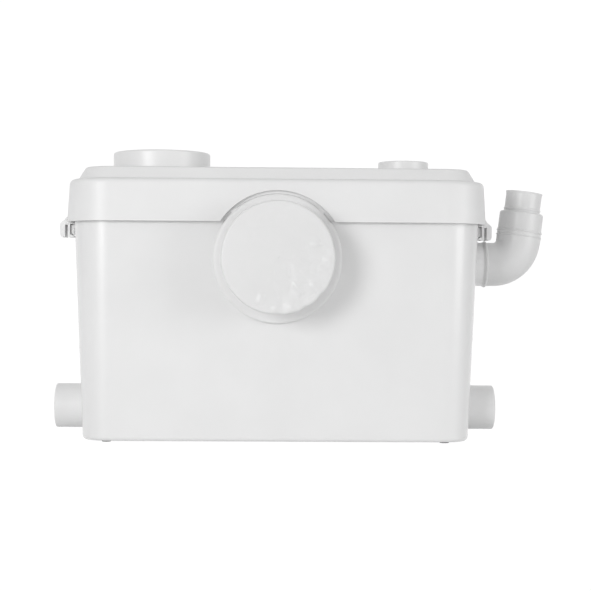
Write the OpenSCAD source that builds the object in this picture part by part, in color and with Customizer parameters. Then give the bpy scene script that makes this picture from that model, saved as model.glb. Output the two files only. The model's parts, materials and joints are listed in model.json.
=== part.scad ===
// Sewage lifting station: a moulded tank and lid with WC, side and discharge connections,
// a motor that drives a cutter and an impeller, and the switch that starts it.
// X runs left to right seen from the front, Y from front to back, Z up from the floor.

/* [Tank] */
// Width of the tank across its rim
tank_w = 390; // [376:1:412]
// Depth of the tank across its rim
tank_d = 179; // [173:1:200]
// Height of the rim above the floor
tank_h = 222; // [216:1:232]
// Radius of a vertical corner at the rim
tank_corner_r = 36.5; // [33:0.5:40]
// How far each wall leans in between rim and floor
tank_draft = 9.5; // [6:0.5:11]
// Thickness of the tank wall
tank_wall = 3.5; // [3:0.1:4]
// Radius of the bottom edge
tank_edge_r = 4; // [4:0.5:8]
// Height of a rubber foot below the tank
foot_h = 1.5; // [1:0.1:4]
// Radius of a rubber foot where it meets the tank
foot_r = 5; // [4:0.5:8]

/* [Lid] */
// How far the lid stands out past the rim of the tank
lid_overhang = 6.5; // [6:0.1:8]
// How far the lid reaches down below the rim
lid_drop = 12.5; // [10:0.5:14]
// Height of the lid from its lower edge to its shoulder
lid_h = 40.5; // [38:0.5:46]
// Thickness of the lid wall
lid_wall = 3; // [2.4:0.1:3.4]
// How far the lid wall leans in from lower edge to shoulder
lid_draft = 2.1; // [1:0.1:3]
// Height of the raised panel above the shoulder
crown_h = 12; // [9:0.5:16]
// How far the raised panel starts inside the shoulder
crown_inset = 8.5; // [7:0.5:12]
// How far the side of the raised panel slopes in
crown_slope = 7; // [5:0.5:8]

/* [WC inlet] */
// Height of the WC inlet axis above the floor
wc_z = 175; // [172:1:180]
// Radius of the flange that lies on the front
wc_flange_r = 61; // [60:0.5:64]
// Outer radius of the WC spigot
wc_spigot_r = 50.4; // [49:0.1:52]
// Bore radius of the WC spigot
wc_bore_r = 46; // [44:0.1:46.5]
// Length of the WC spigot in front of its flange
wc_reach = 42; // [34:1:60]
// Length of the dust cap's skirt over the spigot
dust_cap_skirt = 20; // [10:1:28]

/* [Side inlets] */
// Height of the side inlet axes above the floor
inlet_z = 29.7; // [28:0.1:34]
// Outer radius of a side inlet
inlet_r = 21.8; // [20:0.1:22.5]
// Bore radius of a side inlet
inlet_bore_r = 18.9; // [17.8:0.1:19.2]
// Length of a side inlet outside the tank
inlet_reach = 31; // [25:0.5:50]

/* [Discharge] */
// How far the discharge axis lies below the rim
outlet_drop = 48.7; // [45:0.1:52]
// Distance of the discharge axis behind the middle of the tank
outlet_y = 18; // [16:0.5:20]
// Outer radius of the discharge elbow
elbow_r = 22; // [21:0.1:23]
// Bend radius of the elbow's centre line
elbow_bend_r = 26; // [25:0.5:40]
// Angle that the elbow turns through
elbow_turn = 83; // [75:1:90]
// Outer radius of the reducer's small step
reducer_small_r = 18; // [17:0.1:20]
// Bore radius of the reducer's small step
reducer_bore_r = 14.1; // [12:0.1:15]
// Length of the reducer's large step
reducer_large_l = 18; // [14:0.5:24]
// Length of the reducer's small step
reducer_small_l = 20.5; // [12:0.5:30]

/* [Caps] */
// Radius of the motor access cap
motor_cap_r = 48; // [46.5:0.1:52]
// Height of the motor access cap
motor_cap_h = 19; // [16:0.5:26]
// Radius of the vent cap
vent_cap_r = 25; // [23:0.1:30]
// Height of the vent cap
vent_cap_h = 12.2; // [11:0.1:18]
// Distance of the vent cap from the right end of the rim
vent_inset = 68.6; // [62:0.2:76]

/* [Latches] */
// Length of a latch along the side of the lid
latch_l = 24; // [18:1:30]
// Height of a latch below its pin
latch_h = 16.5; // [15.5:0.1:17.3]

/* [Motor and pump] */
// Distance of the motor axis from the left end of the rim
motor_inset = 80.4; // [78:0.2:85]
// Radius of the motor can
motor_r = 46; // [44:0.5:50]
// Length of the stator core
stator_l = 65; // [45:1:68]
// Radius of the motor shaft in its bearings
shaft_r = 5; // [4.5:0.1:6]
// Radius of the impeller
impeller_r = 29.5; // [24:0.5:31]
// Number of impeller vanes
impeller_vanes = 6; // [4:1:9]
// Radius of the cutter basket
basket_r = 42; // [40.5:0.1:42.5]
// Number of slots round the cutter basket
basket_slots = 24; // [12:1:30]
// Number of cutter blades
cutter_blades = 4; // [2:1:6]
// Number of fan blades
fan_blades = 7; // [5:1:11]
// Number of stator slots
stator_slots = 18; // [12:1:24]

/* [Hidden] */
$fn = 72;
arc_steps = 6;
overrun = 1;
seat_gap = 0.3;
running_gap = 0.06;

// Tank: where its corners are centred and how far its walls reach out from there
corner_x = tank_w / 2 - tank_corner_r;
corner_y = tank_d / 2 - tank_corner_r;
base_r = tank_corner_r - tank_draft;
motor_x = tank_w / 2 - motor_inset;
vent_x = tank_w / 2 - vent_inset;
outlet_z = tank_h - outlet_drop;
edge_z = foot_h + tank_edge_r;
floor_z = foot_h + tank_wall;
rim_lip = 1.8;
rim_lip_h = 4;
pillar_r = 6;
pillar_hole_r = 1.7;
pillar_shares = [[-0.95, -1.05], [-0.95, 1.05], [0.95, -1.05], [0.95, 1.05], [0, 1.2], [0.38, -1.2]];
foot_shares = [[-1.02, -1.2], [-1.02, 1.2], [1.02, -1.2], [1.02, 1.2]];
foot_taper = 0.7;
foot_plug_r = 2;
foot_plug_h = 2;

// Lid: reaches from the same corner centres
lid_z = tank_h - lid_drop;
lid_r = tank_corner_r + lid_overhang;
shoulder_z = lid_z + lid_h;
shoulder_r = lid_r - lid_draft;
shoulder_edge_r = 5;
crown_z = shoulder_z + crown_h;
crown_foot_r = shoulder_r - crown_inset;
crown_edge_r = 4;
gasket_h = 3;
gasket_w = 5;
lid_ledge_h = 3;
arch_gap = 3;
arch_r = wc_flange_r + arch_gap;

// WC inlet: the tank carries an upright pad, the collar's flange lies on it
wc_pad_y = -tank_d / 2;
wc_pad_depth = 6.5;
wc_flange_t = 2;
wc_gasket_t = 0.8;
wc_tail_r = 49.5;
wc_tail_bore_r = 43.5;
wc_tail_l = 15.5;
wc_step = 6;
wc_edge_r = 1;
wc_lock_notches = 8;
wc_lock_notch_w = 9;
wc_lock_notch_h = 2.5;
wc_lock_r = 57;
wc_lock_t = 5;
wc_root_r = 3;
wc_face_y = wc_pad_y - wc_gasket_t - wc_flange_t;
wc_mouth_y = wc_face_y - wc_reach;
dust_cap_t = 0.8;
dust_cap_bead = 0.7;

// Side inlets
inlet_pad_r = 27;
inlet_pad_x = corner_x + base_r - tank_wall - seat_gap * 3;
inlet_seal_t = 1;
inlet_flange_r = 25.5;
inlet_flange_t = 2.5;
inlet_end_x = corner_x + tank_reach(inlet_z) + inlet_reach;
inlet_chamfer = 1;
inlet_neck_x = corner_x + tank_reach(inlet_z + inlet_r) + seat_gap;
inlet_seat_r = 15;
inlet_seat_t = 3;
inlet_flap_r = 16.4;
inlet_barrel_wall = 0.9;
inlet_flap_t = 1.8;
inlet_pin_r = 1.2;
inlet_pin_l = 15.5;
inlet_ear_w = 7;
inlet_hinge_rise = 17.1;
inlet_tail_x = inlet_pad_x - inlet_seal_t - inlet_flange_t;
inlet_seat_x = inlet_tail_x + 7.5 * inlet_seal_t;
inlet_hinge_x = inlet_seat_x - seat_gap - inlet_pin_r - inlet_barrel_wall;

// Discharge
outlet_pad_r = 30;
outlet_pad_x = corner_x + tank_reach(outlet_z) - tank_wall - seat_gap * 8;
outlet_seal_t = 1;
outlet_flange_r = 29;
outlet_flange_t = 3;
outlet_spigot_l = 16.5;
outlet_spigot_x = corner_x + tank_reach(outlet_z) + outlet_spigot_l;
outlet_bore_r = 17.5;
nipple_r = 18.4;
nipple_bore_r = 15.5;
nipple_l = 9.5;
chamber_r = 24;
chamber_wall = 2.5;
chamber_l = 25;
chamber_x = outlet_pad_x - outlet_seal_t - outlet_flange_t;
valve_seat_r = 11;
valve_seat_t = 3;
valve_seat_x = chamber_x - chamber_l;
outlet_flap_r = 14;
outlet_flap_t = 2.5;
outlet_barrel_wall = 1.2;
outlet_pin_r = 1.5;
outlet_pin_l = 29.2;
outlet_ear_w = 8;
outlet_hinge_rise = 17.5;
outlet_hinge_x = valve_seat_x + seat_gap + outlet_pin_r + outlet_barrel_wall;
valve_nipple_l = 11;
elbow_wall = 3.5;
elbow_bead_w = 2;
elbow_bead_h = 1.4;
elbow_collar_step = 0.3;
elbow_socket_l = 10;
elbow_bend_x = outlet_spigot_x + seat_gap + elbow_socket_l;
elbow_spigot_r = 18.4;
elbow_spigot_bore_r = 15;
elbow_spigot_l = reducer_large_l - elbow_wall;
elbow_collar_l = 12.3;
ridge_w = 1.6;
ridge_h = 0.9;
ridge_shares = [0.5, 0.86];
reducer_chamfer = 1.5;
reducer_rib_h = 0.6;
reducer_rib_w = 1.2;

// Caps and the upstands that they fit over
upstand_wall = 2.5;
cap_wall = 2.2;
cap_gap = 0.3;
cap_flare = 1.4;
cap_flare_h = 2.5;
cap_edge_r = 2.2;
motor_upstand_r = motor_cap_r - cap_wall - cap_gap;
motor_upstand_h = motor_cap_h - 3 * cap_wall;
vent_upstand_r = vent_cap_r - cap_wall - cap_gap;
vent_upstand_h = vent_cap_h - 2 * cap_wall;
vent_chamfer = 1.4;
filter_ledge_t = 1;
filter_hole_r = 1.4;
filter_hole_shares = [0.32, 0.68];

// Latches: the pin lies just outside the lid's skirt
latch_barrel_r = 3;
latch_pin_r = 1.5;
latch_pin_clear = 0.9;
latch_x = corner_x + lid_r + latch_barrel_r + latch_pin_clear;
latch_z = lid_z + latch_barrel_r + 0.25 * latch_barrel_r;
latch_ear_t = 3;
latch_ear_r = 3.6;
latch_leg_t = 2.4;
latch_grip_t = 5;
latch_slot = 2.6;
latch_hook = 3;
latch_hook_h = 2.5;
catch_gap = 0.6;
catch_t = 3;

// Deck, basket and pump levels
volute_floor = 4;
volute_cavity_h = 20;
suction_t = 2.5;
deck_z = 98;
deck_t = 5;
deck_gap = 1.2;
volute_r = 40;
volute_cavity_r = 33;
volute_top_z = floor_z + volute_floor + volute_cavity_h;
basket_z = volute_top_z + suction_t;
basket_wall = 2;
basket_floor = 2;
basket_slot_w = 3;
basket_holes = 12;
basket_hole_r = 1.8;
basket_top_z = deck_z - seat_gap;
eye_r = 15;
nozzle_z = floor_z + volute_floor + volute_cavity_h / 2;
nozzle_bore_r = 8;
nozzle_wall = 2;
nozzle_r = nozzle_bore_r + nozzle_wall;
nozzle_l = 14;
nozzle_end_x = -motor_x + volute_r + nozzle_l;
stud_r = 2.5;
stud_ear_r = 5;
stud_circle_r = 52;
stud_nut_r = 4.5;
stud_nut_h = 4;
stud_gap = 0.1;
stud_angles = [45, 135, 225];
hose_wall = 2.4;
hose_gap = 0.1;
hose_bend_r = 30;
hose_cuff = 0.4;
hose_r = nozzle_r + hose_gap + hose_wall;
hose_start_x = nozzle_end_x - valve_nipple_l;
riser_x = valve_seat_x - valve_seat_t - valve_nipple_l - hose_bend_r;
clamp_t = 0.7;
clamp_w = 7;
seal_r = 18;
seal_h = 7;
seal_lip = 3;
deck_rim_t = 2.5;
deck_rim_h = 6;
motor_screws_n = 4;
shaft_thin_r = 4;

// Motor levels
bell_z = deck_z + deck_t;
bell_flange_t = 5;
bell_h = 10;
bell_hub_r = 15;
bearing_r = 11;
bearing_h = 7;
bearing_land = 1;
bearing_ring = 2;
bearing_groove = 0.8;
bell_windows = 6;
bell_window_r = 7;
can_wall = 1.5;
winding_h = 11;
can_z = bell_z + bell_h;
can_l = stator_l + 2 * winding_h + 3;
stator_z = can_z + winding_h + overrun;
upper_bell_z = can_z + can_l;
stator_bore_r = 26.5;
air_gap = 0.5;
slot_depth = 9;
slot_w = 4.5;
slot_gap = 0.3;
stator_tip = 2;
end_ring_h = 4;
end_ring_t = 6;
shaft_over = 25;
shaft_top_z = upper_bell_z + bell_h + shaft_over;
shaft_foot_z = floor_z + volute_floor + overrun / 2;
driver_slot_w = 1.2;
driver_slot_h = 2;
fan_z = upper_bell_z + bell_h + 4;
fan_h = 11;
fan_hub_r = 9;
fan_blade_t = 1.6;
fan_disc_t = 1.5;
fan_r = 38;
motor_screw_r = 2;
motor_screw_head_r = 3.6;
motor_screw_head_h = 2.4;
motor_screw_share = 0.9;
deck_screw_r = 1.6;
deck_screw_head_r = 4;
deck_screw_head_h = 2.4;
deck_screw_l = 13;
impeller_plate_t = 2;
impeller_lift = 1;
impeller_hub_r = 8;
vane_t = 2;
vane_r = 20;
vane_h = 14.5;
cutter_z = basket_z + basket_floor + 2;
cutter_h = 8;
cutter_hub_r = 9;
cutter_reach = 36;
cutter_blade_t = 2.5;
cutter_blade_w = 11;
cutter_twist = 12;

// Chute from the WC inlet to the basket
chute_wall = 2;
chute_w = 64;
chute_inset = 15.5;
chute_front_y = wc_pad_y + chute_inset;
chute_back_y = chute_front_y + chute_w;
chute_right_x = 50;
chute_high_z = 122;
chute_gap = 0.8;
chute_floor_shares = [0.62];
chute_low_z = basket_z + basket_floor + chute_wall;
chute_mouth_from = -90;
chute_mouth_to = 60;
mouth_margin = 12;

// Level switch
bell_tube_x = 84;
bell_tube_y = -30;
bell_tube_r = 14;
bell_tube_wall = 2.5;
bell_tube_foot_z = 20;
bell_tube_flange_r = 20;
bell_tube_flange_t = 3;
switch_r = 22;
switch_base_h = 8;
switch_cavity_r = 18;
switch_floor = 3;
diaphragm_t = 1.2;
diaphragm_grip = 2;
switch_cover_h = 8;
switch_roof = 3;
plunger_r = 2.5;
plunger_plate_r = 12;
plunger_plate_t = 1.5;
switch_base_z = bell_z + bell_tube_flange_t;
diaphragm_z = switch_base_z + switch_base_h;
switch_cover_z = diaphragm_z + diaphragm_t;
switch_top_z = switch_cover_z + switch_cover_h;
plunger_z = switch_cover_z + seat_gap;
plunger_top = 2.5;
micro_w = 20;
micro_d = 10;
micro_h = 11;
micro_post_w = 4;
micro_post_h = 5;
micro_tab_w = 1;
micro_tab_h = 5;

// Electrical pieces
capacitor_x = 40;
capacitor_y = 45;
capacitor_r = 19;
capacitor_h = 62;
capacitor_clip_t = 1.6;
capacitor_clip_h = 12;
capacitor_tab_w = 5;
capacitor_tab_h = 8;
terminal_x = -26;
terminal_y = 52;
terminal_w = 40;
terminal_d = 17;
terminal_h = 14;
terminal_ways = 4;
terminal_screw_r = 2.6;
gland_x = 60;
gland_r = 7.6;
gland_z = tank_h + 2 * gland_r;
gland_bore_r = 3.6;
gland_thread_r = 6;
gland_nut_t = 5;
gland_body_l = 9;
gland_dome_l = 9;
gland_pad_r = 10;
gland_pad_y = corner_y + lid_r + 0.5 * seat_gap;
gland_nut_y = corner_y + lid_reach(gland_z) - lid_wall - 2 * seat_gap;

// The origin lies under the middle of the overall width and depth
reach_right = elbow_bend_x + (elbow_bend_r + elbow_r) * sin(elbow_turn)
    + (elbow_collar_l + reducer_large_l - reducer_chamfer) * cos(elbow_turn);
reach_front = -wc_mouth_y + cap_gap + dust_cap_t;
reach_back = gland_pad_y + gland_body_l + gland_dome_l;
origin_shift = [(inlet_end_x - reach_right) / 2, (reach_front - reach_back) / 2, 0];

// How far the outer face of the tank lies from a corner centre at height z
function tank_reach(z) = base_r + tank_draft * (z - edge_z) / (tank_h - edge_z);

// How far the outer face of the lid's skirt lies from a corner centre at height z
function lid_reach(z) = lid_r - lid_draft * (z - lid_z) / (lid_h - shoulder_edge_r);

// Points of an arc round a centre, from one angle to another
function arc_points(centre, r, from, to) =
    [for (i = [0 : arc_steps]) centre + r * [cos(from + (to - from) * i / arc_steps),
                                             sin(from + (to - from) * i / arc_steps)]];

function reversed(list) = [for (i = [len(list) - 1 : -1 : 0]) list[i]];

// A round-cornered block: a wall profile of [reach, height] turned round every corner
// centre and drawn along every side
module corner_block(profile) {
    last = len(profile) - 1;
    quarter = concat([[0, profile[0][1]]], profile, [[0, profile[last][1]]]);
    for (turn = [0, 1, 2, 3])
        translate([(turn == 0 || turn == 3 ? 1 : -1) * corner_x, (turn < 2 ? 1 : -1) * corner_y, 0])
            rotate([0, 0, 90 * turn])
                rotate_extrude(angle = 90)
                    polygon(quarter);
    rotate([90, 0, 90])
        linear_extrude(height = 2 * corner_x, center = true)
            polygon(both_sides(profile, corner_y));
    rotate([90, 0, 0])
        linear_extrude(height = 2 * corner_y, center = true)
            polygon(both_sides(profile, corner_x));
}

function both_sides(profile, half) =
    concat([for (p = profile) [half + p[0], p[1]]],
           reversed([for (p = profile) [-half - p[0], p[1]]]));

// A ring of the block between two reaches and two heights
module corner_ring(outer, inner, z0, z1) {
    difference() {
        corner_block([[outer, z0], [outer, z1]]);
        corner_block([[inner, z0 - overrun], [inner, z1 + overrun]]);
    }
}

// Lays children out along X or Y instead of Z
module along_x() { rotate([0, 90, 0]) children(); }
module along_front() { rotate([90, 0, 0]) children(); }

module placed() { translate(origin_shift) children(); }

module tube(outer, inner, length) {
    difference() {
        cylinder(r = outer, h = length);
        translate([0, 0, -overrun]) cylinder(r = inner, h = length + 2 * overrun);
    }
}

module color_white() { color("whitesmoke") children(); }

// Tank shell with its pads, the pillars under the deck and the catches for the latches
module tank_outside() {
    corner_block(concat(arc_points([base_r - tank_edge_r, edge_z], tank_edge_r, -90, 0),
                        [[tank_corner_r, tank_h]]));
}

module tank_inside() {
    corner_block(concat(arc_points([base_r - tank_edge_r, edge_z], tank_edge_r - tank_wall, -90, 0),
                        [[tank_reach(tank_h + overrun) - tank_wall, tank_h + overrun]]));
}

module on_pillars() {
    for (share = pillar_shares)
        translate([share[0] * corner_x, share[1] * corner_y, 0]) children();
}

// The catch hangs clear of the wall, so that the hook of the latch comes in under it
module latch_catch() {
    top_z = lid_z - 2 * seat_gap;
    foot_z = latch_z - latch_h + latch_hook_h + catch_gap;
    face_x = latch_x - latch_leg_t / 2 - catch_gap;
    wall_x = corner_x + tank_reach(top_z) - tank_wall / 2;
    rotate([90, 0, 0])
        linear_extrude(height = latch_l - 2 * latch_ear_t, center = true)
            polygon([[wall_x, top_z - 2 * catch_t], [wall_x, top_z], [face_x, top_z],
                     [face_x, foot_z], [face_x - catch_t, foot_z],
                     [face_x - catch_t, top_z - catch_t]]);
}

module tank() {
    color_white() placed()
        difference() {
            union() {
                difference() {
                    tank_outside();
                    tank_inside();
                }
                corner_ring(tank_corner_r + rim_lip, tank_corner_r - tank_wall / 2,
                            tank_h - rim_lip_h, tank_h);
                translate([0, wc_pad_y + wc_pad_depth, wc_z])
                    along_front() cylinder(r = wc_flange_r, h = wc_pad_depth);
                intersection() {
                    tank_outside();
                    union() {
                        for (side = [0, 1])
                            mirror([side, 0, 0])
                                translate([inlet_pad_x, 0, inlet_z])
                                    along_x() cylinder(r = inlet_pad_r, h = inlet_reach);
                        translate([outlet_pad_x, outlet_y, outlet_z])
                            along_x() cylinder(r = outlet_pad_r, h = outlet_spigot_l);
                    }
                }
                on_pillars()
                    translate([0, 0, floor_z - tank_wall / 2])
                        cylinder(r = pillar_r, h = deck_z - floor_z + tank_wall / 2);
                for (side = [0, 1]) mirror([side, 0, 0]) latch_catch();
            }
            translate([0, wc_pad_y + wc_pad_depth + overrun, wc_z])
                along_front() cylinder(r = wc_tail_r + seat_gap, h = wc_pad_depth + 2 * overrun);
            translate([0, wc_pad_y + wc_pad_depth + wc_tail_l, wc_z])
                along_front() cylinder(r = wc_lock_r + seat_gap, h = wc_tail_l);
            translate([0, wc_pad_y, wc_z])
                along_front() cylinder(r = arch_r, h = wc_pad_depth);
            for (side = [0, 1])
                mirror([side, 0, 0])
                    translate([inlet_pad_x - overrun, 0, inlet_z])
                        along_x() cylinder(r = inlet_r + seat_gap, h = inlet_reach);
            translate([outlet_pad_x - overrun, outlet_y, outlet_z])
                along_x() cylinder(r = elbow_r + seat_gap, h = outlet_spigot_l);
            on_pillars()
                translate([0, 0, deck_z - deck_screw_l])
                    cylinder(r = pillar_hole_r, h = deck_screw_l + overrun);
            on_feet()
                translate([0, 0, foot_h - overrun])
                    cylinder(r = foot_plug_r + running_gap, h = foot_plug_h + overrun);
        }
}

module on_feet() {
    for (share = foot_shares)
        translate([share[0] * corner_x, share[1] * corner_y, 0]) children();
}

module rubber_feet() {
    color("dimgray") placed()
        on_feet() {
            cylinder(r1 = foot_r - foot_taper, r2 = foot_r, h = foot_h);
            cylinder(r = foot_plug_r, h = foot_h + foot_plug_h - seat_gap);
        }
}

// Lid: a skirt, a rounded shoulder and a raised crown with sloping sides
function lid_outline(t, foot_z) =
    let (slope = atan2(crown_slope, crown_h),
         edge_x = crown_foot_r
             - (crown_edge_r + (crown_h - crown_edge_r) * sin(slope)) / cos(slope))
    concat([[lid_r - t, foot_z]],
           arc_points([shoulder_r - shoulder_edge_r, shoulder_z - shoulder_edge_r],
                      shoulder_edge_r - t, 0, 90),
           [[crown_foot_r - t * (1 - sin(slope)) / cos(slope), shoulder_z - t]],
           arc_points([edge_x, crown_z - crown_edge_r], crown_edge_r - t, slope, 90));

module lid() {
    color_white() placed()
        difference() {
            union() {
                difference() {
                    corner_block(lid_outline(0, lid_z));
                    corner_block(lid_outline(lid_wall, lid_z - overrun));
                }
                difference() {
                    corner_ring(lid_reach(tank_h) - lid_wall / 2, tank_corner_r - tank_wall,
                                tank_h + gasket_h, tank_h + gasket_h + lid_ledge_h);
                    wc_arch();
                }
                translate([-motor_x, 0, crown_z - lid_wall])
                    cylinder(r = motor_upstand_r, h = lid_wall + motor_upstand_h);
                translate([vent_x, 0, crown_z - lid_wall])
                    cylinder(r = vent_upstand_r, h = lid_wall + vent_upstand_h);
                intersection() {
                    corner_block([[gland_pad_y - corner_y, lid_z], [gland_pad_y - corner_y, crown_z]]);
                    translate([gland_x, gland_pad_y, gland_z])
                        along_front() cylinder(r = gland_pad_r, h = lid_wall);
                }
                for (side = [0, 1]) mirror([side, 0, 0]) latch_ears();
            }
            wc_arch();
            translate([-motor_x, 0, crown_z - lid_wall - overrun])
                cylinder(r = motor_upstand_r - upstand_wall, h = lid_wall + motor_upstand_h + 2 * overrun);
            translate([vent_x, 0, crown_z])
                cylinder(r = vent_upstand_r - upstand_wall, h = vent_upstand_h + overrun);
            for (share = filter_hole_shares, turn = [0 : 45 : 315])
                translate([vent_x, 0, crown_z - lid_wall - overrun])
                    rotate([0, 0, turn])
                        translate([share * vent_upstand_r, 0, 0])
                            cylinder(r = filter_hole_r, h = lid_wall + 2 * overrun);
            translate([gland_x, gland_pad_y + overrun, gland_z])
                along_front() cylinder(r = gland_thread_r + running_gap, h = 2 * lid_wall + 2 * overrun);
            for (side = [0, 1])
                mirror([side, 0, 0])
                    translate([latch_x, 0, latch_z])
                        along_front()
                            cylinder(r = latch_pin_r + running_gap,
                                     h = latch_l + 3 * latch_ear_t, center = true);
        }
}

module wc_arch() {
    translate([0, wc_pad_y + 2 * gasket_w, wc_z])
        along_front() cylinder(r = arch_r, h = wc_reach);
}

module latch_ears() {
    root_x = corner_x + lid_reach(latch_z) - lid_wall / 2;
    for (end = [-1, 1])
        translate([0, end * (latch_l / 2 + seat_gap + latch_ear_t / 2), latch_z]) {
            translate([latch_x, 0, 0])
                along_front() cylinder(r = latch_ear_r, h = latch_ear_t, center = true);
            translate([root_x, -latch_ear_t / 2, -latch_ear_r])
                cube([latch_x - root_x, latch_ear_t, 2 * latch_ear_r]);
        }
}

module lid_gasket() {
    color("gainsboro") placed()
        difference() {
            corner_ring(tank_corner_r + rim_lip - seat_gap, tank_corner_r + rim_lip - gasket_w,
                        tank_h, tank_h + gasket_h);
            wc_arch();
        }
}

// WC inlet: spigot and flange in front, threaded tail through the tank
module wc_collar() {
    color_white() placed()
        translate([0, wc_face_y, wc_z])
            along_front()
                rotate_extrude()
                    polygon(concat(
                        [[wc_tail_bore_r, -wc_flange_t - wc_tail_l],
                         [wc_tail_r, -wc_flange_t - wc_tail_l],
                         [wc_tail_r, -wc_flange_t],
                         [wc_flange_r, -wc_flange_t]],
                        arc_points([wc_flange_r - wc_edge_r, -wc_edge_r], wc_edge_r, 0, 90),
                        reversed(arc_points([wc_spigot_r + wc_root_r, wc_root_r], wc_root_r, 180, 270)),
                        [[wc_spigot_r, wc_reach],
                         [wc_bore_r, wc_reach],
                         [wc_bore_r, wc_step],
                         [wc_tail_bore_r, wc_step]]));
}

module wc_gasket() {
    color("darkslategray") placed()
        translate([0, wc_pad_y, wc_z])
            along_front() tube(wc_flange_r - wc_edge_r, wc_tail_r + seat_gap, wc_gasket_t);
}

module wc_lock_ring() {
    color("lightgray") placed()
        translate([0, wc_pad_y + wc_pad_depth + wc_lock_t, wc_z])
            along_front()
                difference() {
                    tube(wc_lock_r, wc_tail_r + running_gap, wc_lock_t);
                    for (turn = [1 : wc_lock_notches])
                        rotate([0, 0, turn * 360 / wc_lock_notches])
                            translate([wc_lock_r - wc_lock_notch_h, -wc_lock_notch_w / 2, -overrun])
                                cube([wc_lock_r, wc_lock_notch_w, wc_lock_t + 2 * overrun]);
                }
}

module wc_dust_cap() {
    inner_r = wc_spigot_r + cap_gap;
    outer_r = inner_r + dust_cap_t;
    color("ghostwhite") placed()
        translate([0, wc_mouth_y, wc_z])
            along_front()
                rotate_extrude()
                    polygon([[0, cap_gap], [inner_r, cap_gap], [inner_r, -dust_cap_skirt],
                             [outer_r + dust_cap_bead, -dust_cap_skirt],
                             [outer_r + dust_cap_bead, -dust_cap_skirt + 2 * dust_cap_bead],
                             [outer_r, -dust_cap_skirt + 3 * dust_cap_bead],
                             [outer_r, 0],
                             [outer_r - dust_cap_t, cap_gap + dust_cap_t],
                             [0, cap_gap + dust_cap_t]]);
}

// Caps: cups that fit over the upstands of the lid
module cap_cup(r, h, edge) {
    rotate_extrude()
        polygon(concat(
            [[r - cap_wall, seat_gap], [r + cap_flare, seat_gap], [r, seat_gap + cap_flare_h]],
            arc_points([r - edge, h - edge], edge, 0, 90),
            [[0, h], [0, h - cap_wall], [r - cap_wall, h - cap_wall]]));
}

module motor_cap() {
    color_white() placed()
        translate([-motor_x, 0, crown_z]) cap_cup(motor_cap_r, motor_cap_h, cap_edge_r);
}

module vent_cap() {
    color_white() placed()
        translate([vent_x, 0, crown_z])
            rotate_extrude()
                polygon([[vent_cap_r - cap_wall, seat_gap], [vent_cap_r, seat_gap],
                         [vent_cap_r - vent_chamfer / 2, vent_cap_h - vent_chamfer / 2],
                         [vent_cap_r - vent_chamfer, vent_cap_h], [0, vent_cap_h],
                         [0, vent_cap_h - cap_wall],
                         [vent_cap_r - cap_wall, vent_cap_h - cap_wall]]);
}

module carbon_filter() {
    color("black") placed()
        translate([vent_x, 0, crown_z])
            cylinder(r = vent_upstand_r - upstand_wall - seat_gap, h = vent_upstand_h - filter_ledge_t);
}

// Side inlets, drawn on the right; the left one is their mirror image
module on_side(side) {
    placed() mirror([side < 0 ? 1 : 0, 0, 0]) translate([0, 0, inlet_z]) children();
}

// Trims what lies inside the tank flat above its floor
module above_floor() {
    difference() {
        children();
        translate([0, -tank_d / 2, -inlet_z])
            cube([inlet_pad_x, tank_d, floor_z + tank_wall / 2]);
    }
}

module inlet_body() {
    difference() {
        above_floor()
            rotate([0, 90, 0])
                rotate_extrude()
                    polygon([[inlet_bore_r, inlet_tail_x], [inlet_flange_r, inlet_tail_x],
                             [inlet_flange_r, inlet_tail_x + inlet_flange_t],
                             [inlet_r - seat_gap, inlet_tail_x + inlet_flange_t],
                             [inlet_r - seat_gap, inlet_neck_x], [inlet_r, inlet_neck_x],
                             [inlet_r, inlet_end_x - inlet_chamfer],
                             [inlet_r - inlet_chamfer, inlet_end_x],
                             [inlet_bore_r, inlet_end_x],
                             [inlet_bore_r, inlet_seat_x + inlet_seat_t],
                             [inlet_seat_r, inlet_seat_x + inlet_seat_t],
                             [inlet_seat_r, inlet_seat_x],
                             [inlet_bore_r, inlet_seat_x]]);
        translate([inlet_hinge_x, 0, inlet_hinge_rise]) {
            along_front()
                cylinder(r = inlet_pin_r + running_gap, h = inlet_pin_l + running_gap, center = true);
            along_front()
                cylinder(r = inlet_pin_r + inlet_barrel_wall + 2 * seat_gap,
                         h = inlet_ear_w + 2 * seat_gap, center = true);
        }
    }
}

module inlet_left() { color_white() on_side(-1) inlet_body(); }
module inlet_right() { color_white() on_side(1) inlet_body(); }

module inlet_seal() {
    above_floor()
        translate([inlet_pad_x - inlet_seal_t, 0, 0])
            along_x() tube(inlet_flange_r, inlet_r + seat_gap, inlet_seal_t);
}

module inlet_seal_left() { color("darkslategray") on_side(-1) inlet_seal(); }
module inlet_seal_right() { color("darkslategray") on_side(1) inlet_seal(); }

// A round flap under its hinge barrel; the face that closes the seat lies at x = 0
module flap(r, t, rise, pin_r, barrel_wall, ear_w) {
    difference() {
        union() {
            along_x() cylinder(r = r, h = t);
            translate([0, -ear_w / 2, 0]) cube([t, ear_w, rise]);
            translate([pin_r + barrel_wall, 0, rise])
                along_front() cylinder(r = pin_r + barrel_wall, h = ear_w, center = true);
        }
        translate([pin_r + barrel_wall, 0, rise])
            along_front() cylinder(r = pin_r + running_gap, h = ear_w + 2 * overrun, center = true);
    }
}

module inlet_flap() {
    translate([inlet_seat_x - seat_gap, 0, 0]) mirror([1, 0, 0])
        flap(inlet_flap_r, inlet_flap_t, inlet_hinge_rise, inlet_pin_r, inlet_barrel_wall, inlet_ear_w);
}

module inlet_flap_left() { color("gray") on_side(-1) inlet_flap(); }
module inlet_flap_right() { color("gray") on_side(1) inlet_flap(); }

module inlet_pin() {
    translate([inlet_hinge_x, 0, inlet_hinge_rise])
        along_front() cylinder(r = inlet_pin_r, h = inlet_pin_l, center = true);
}

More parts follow.
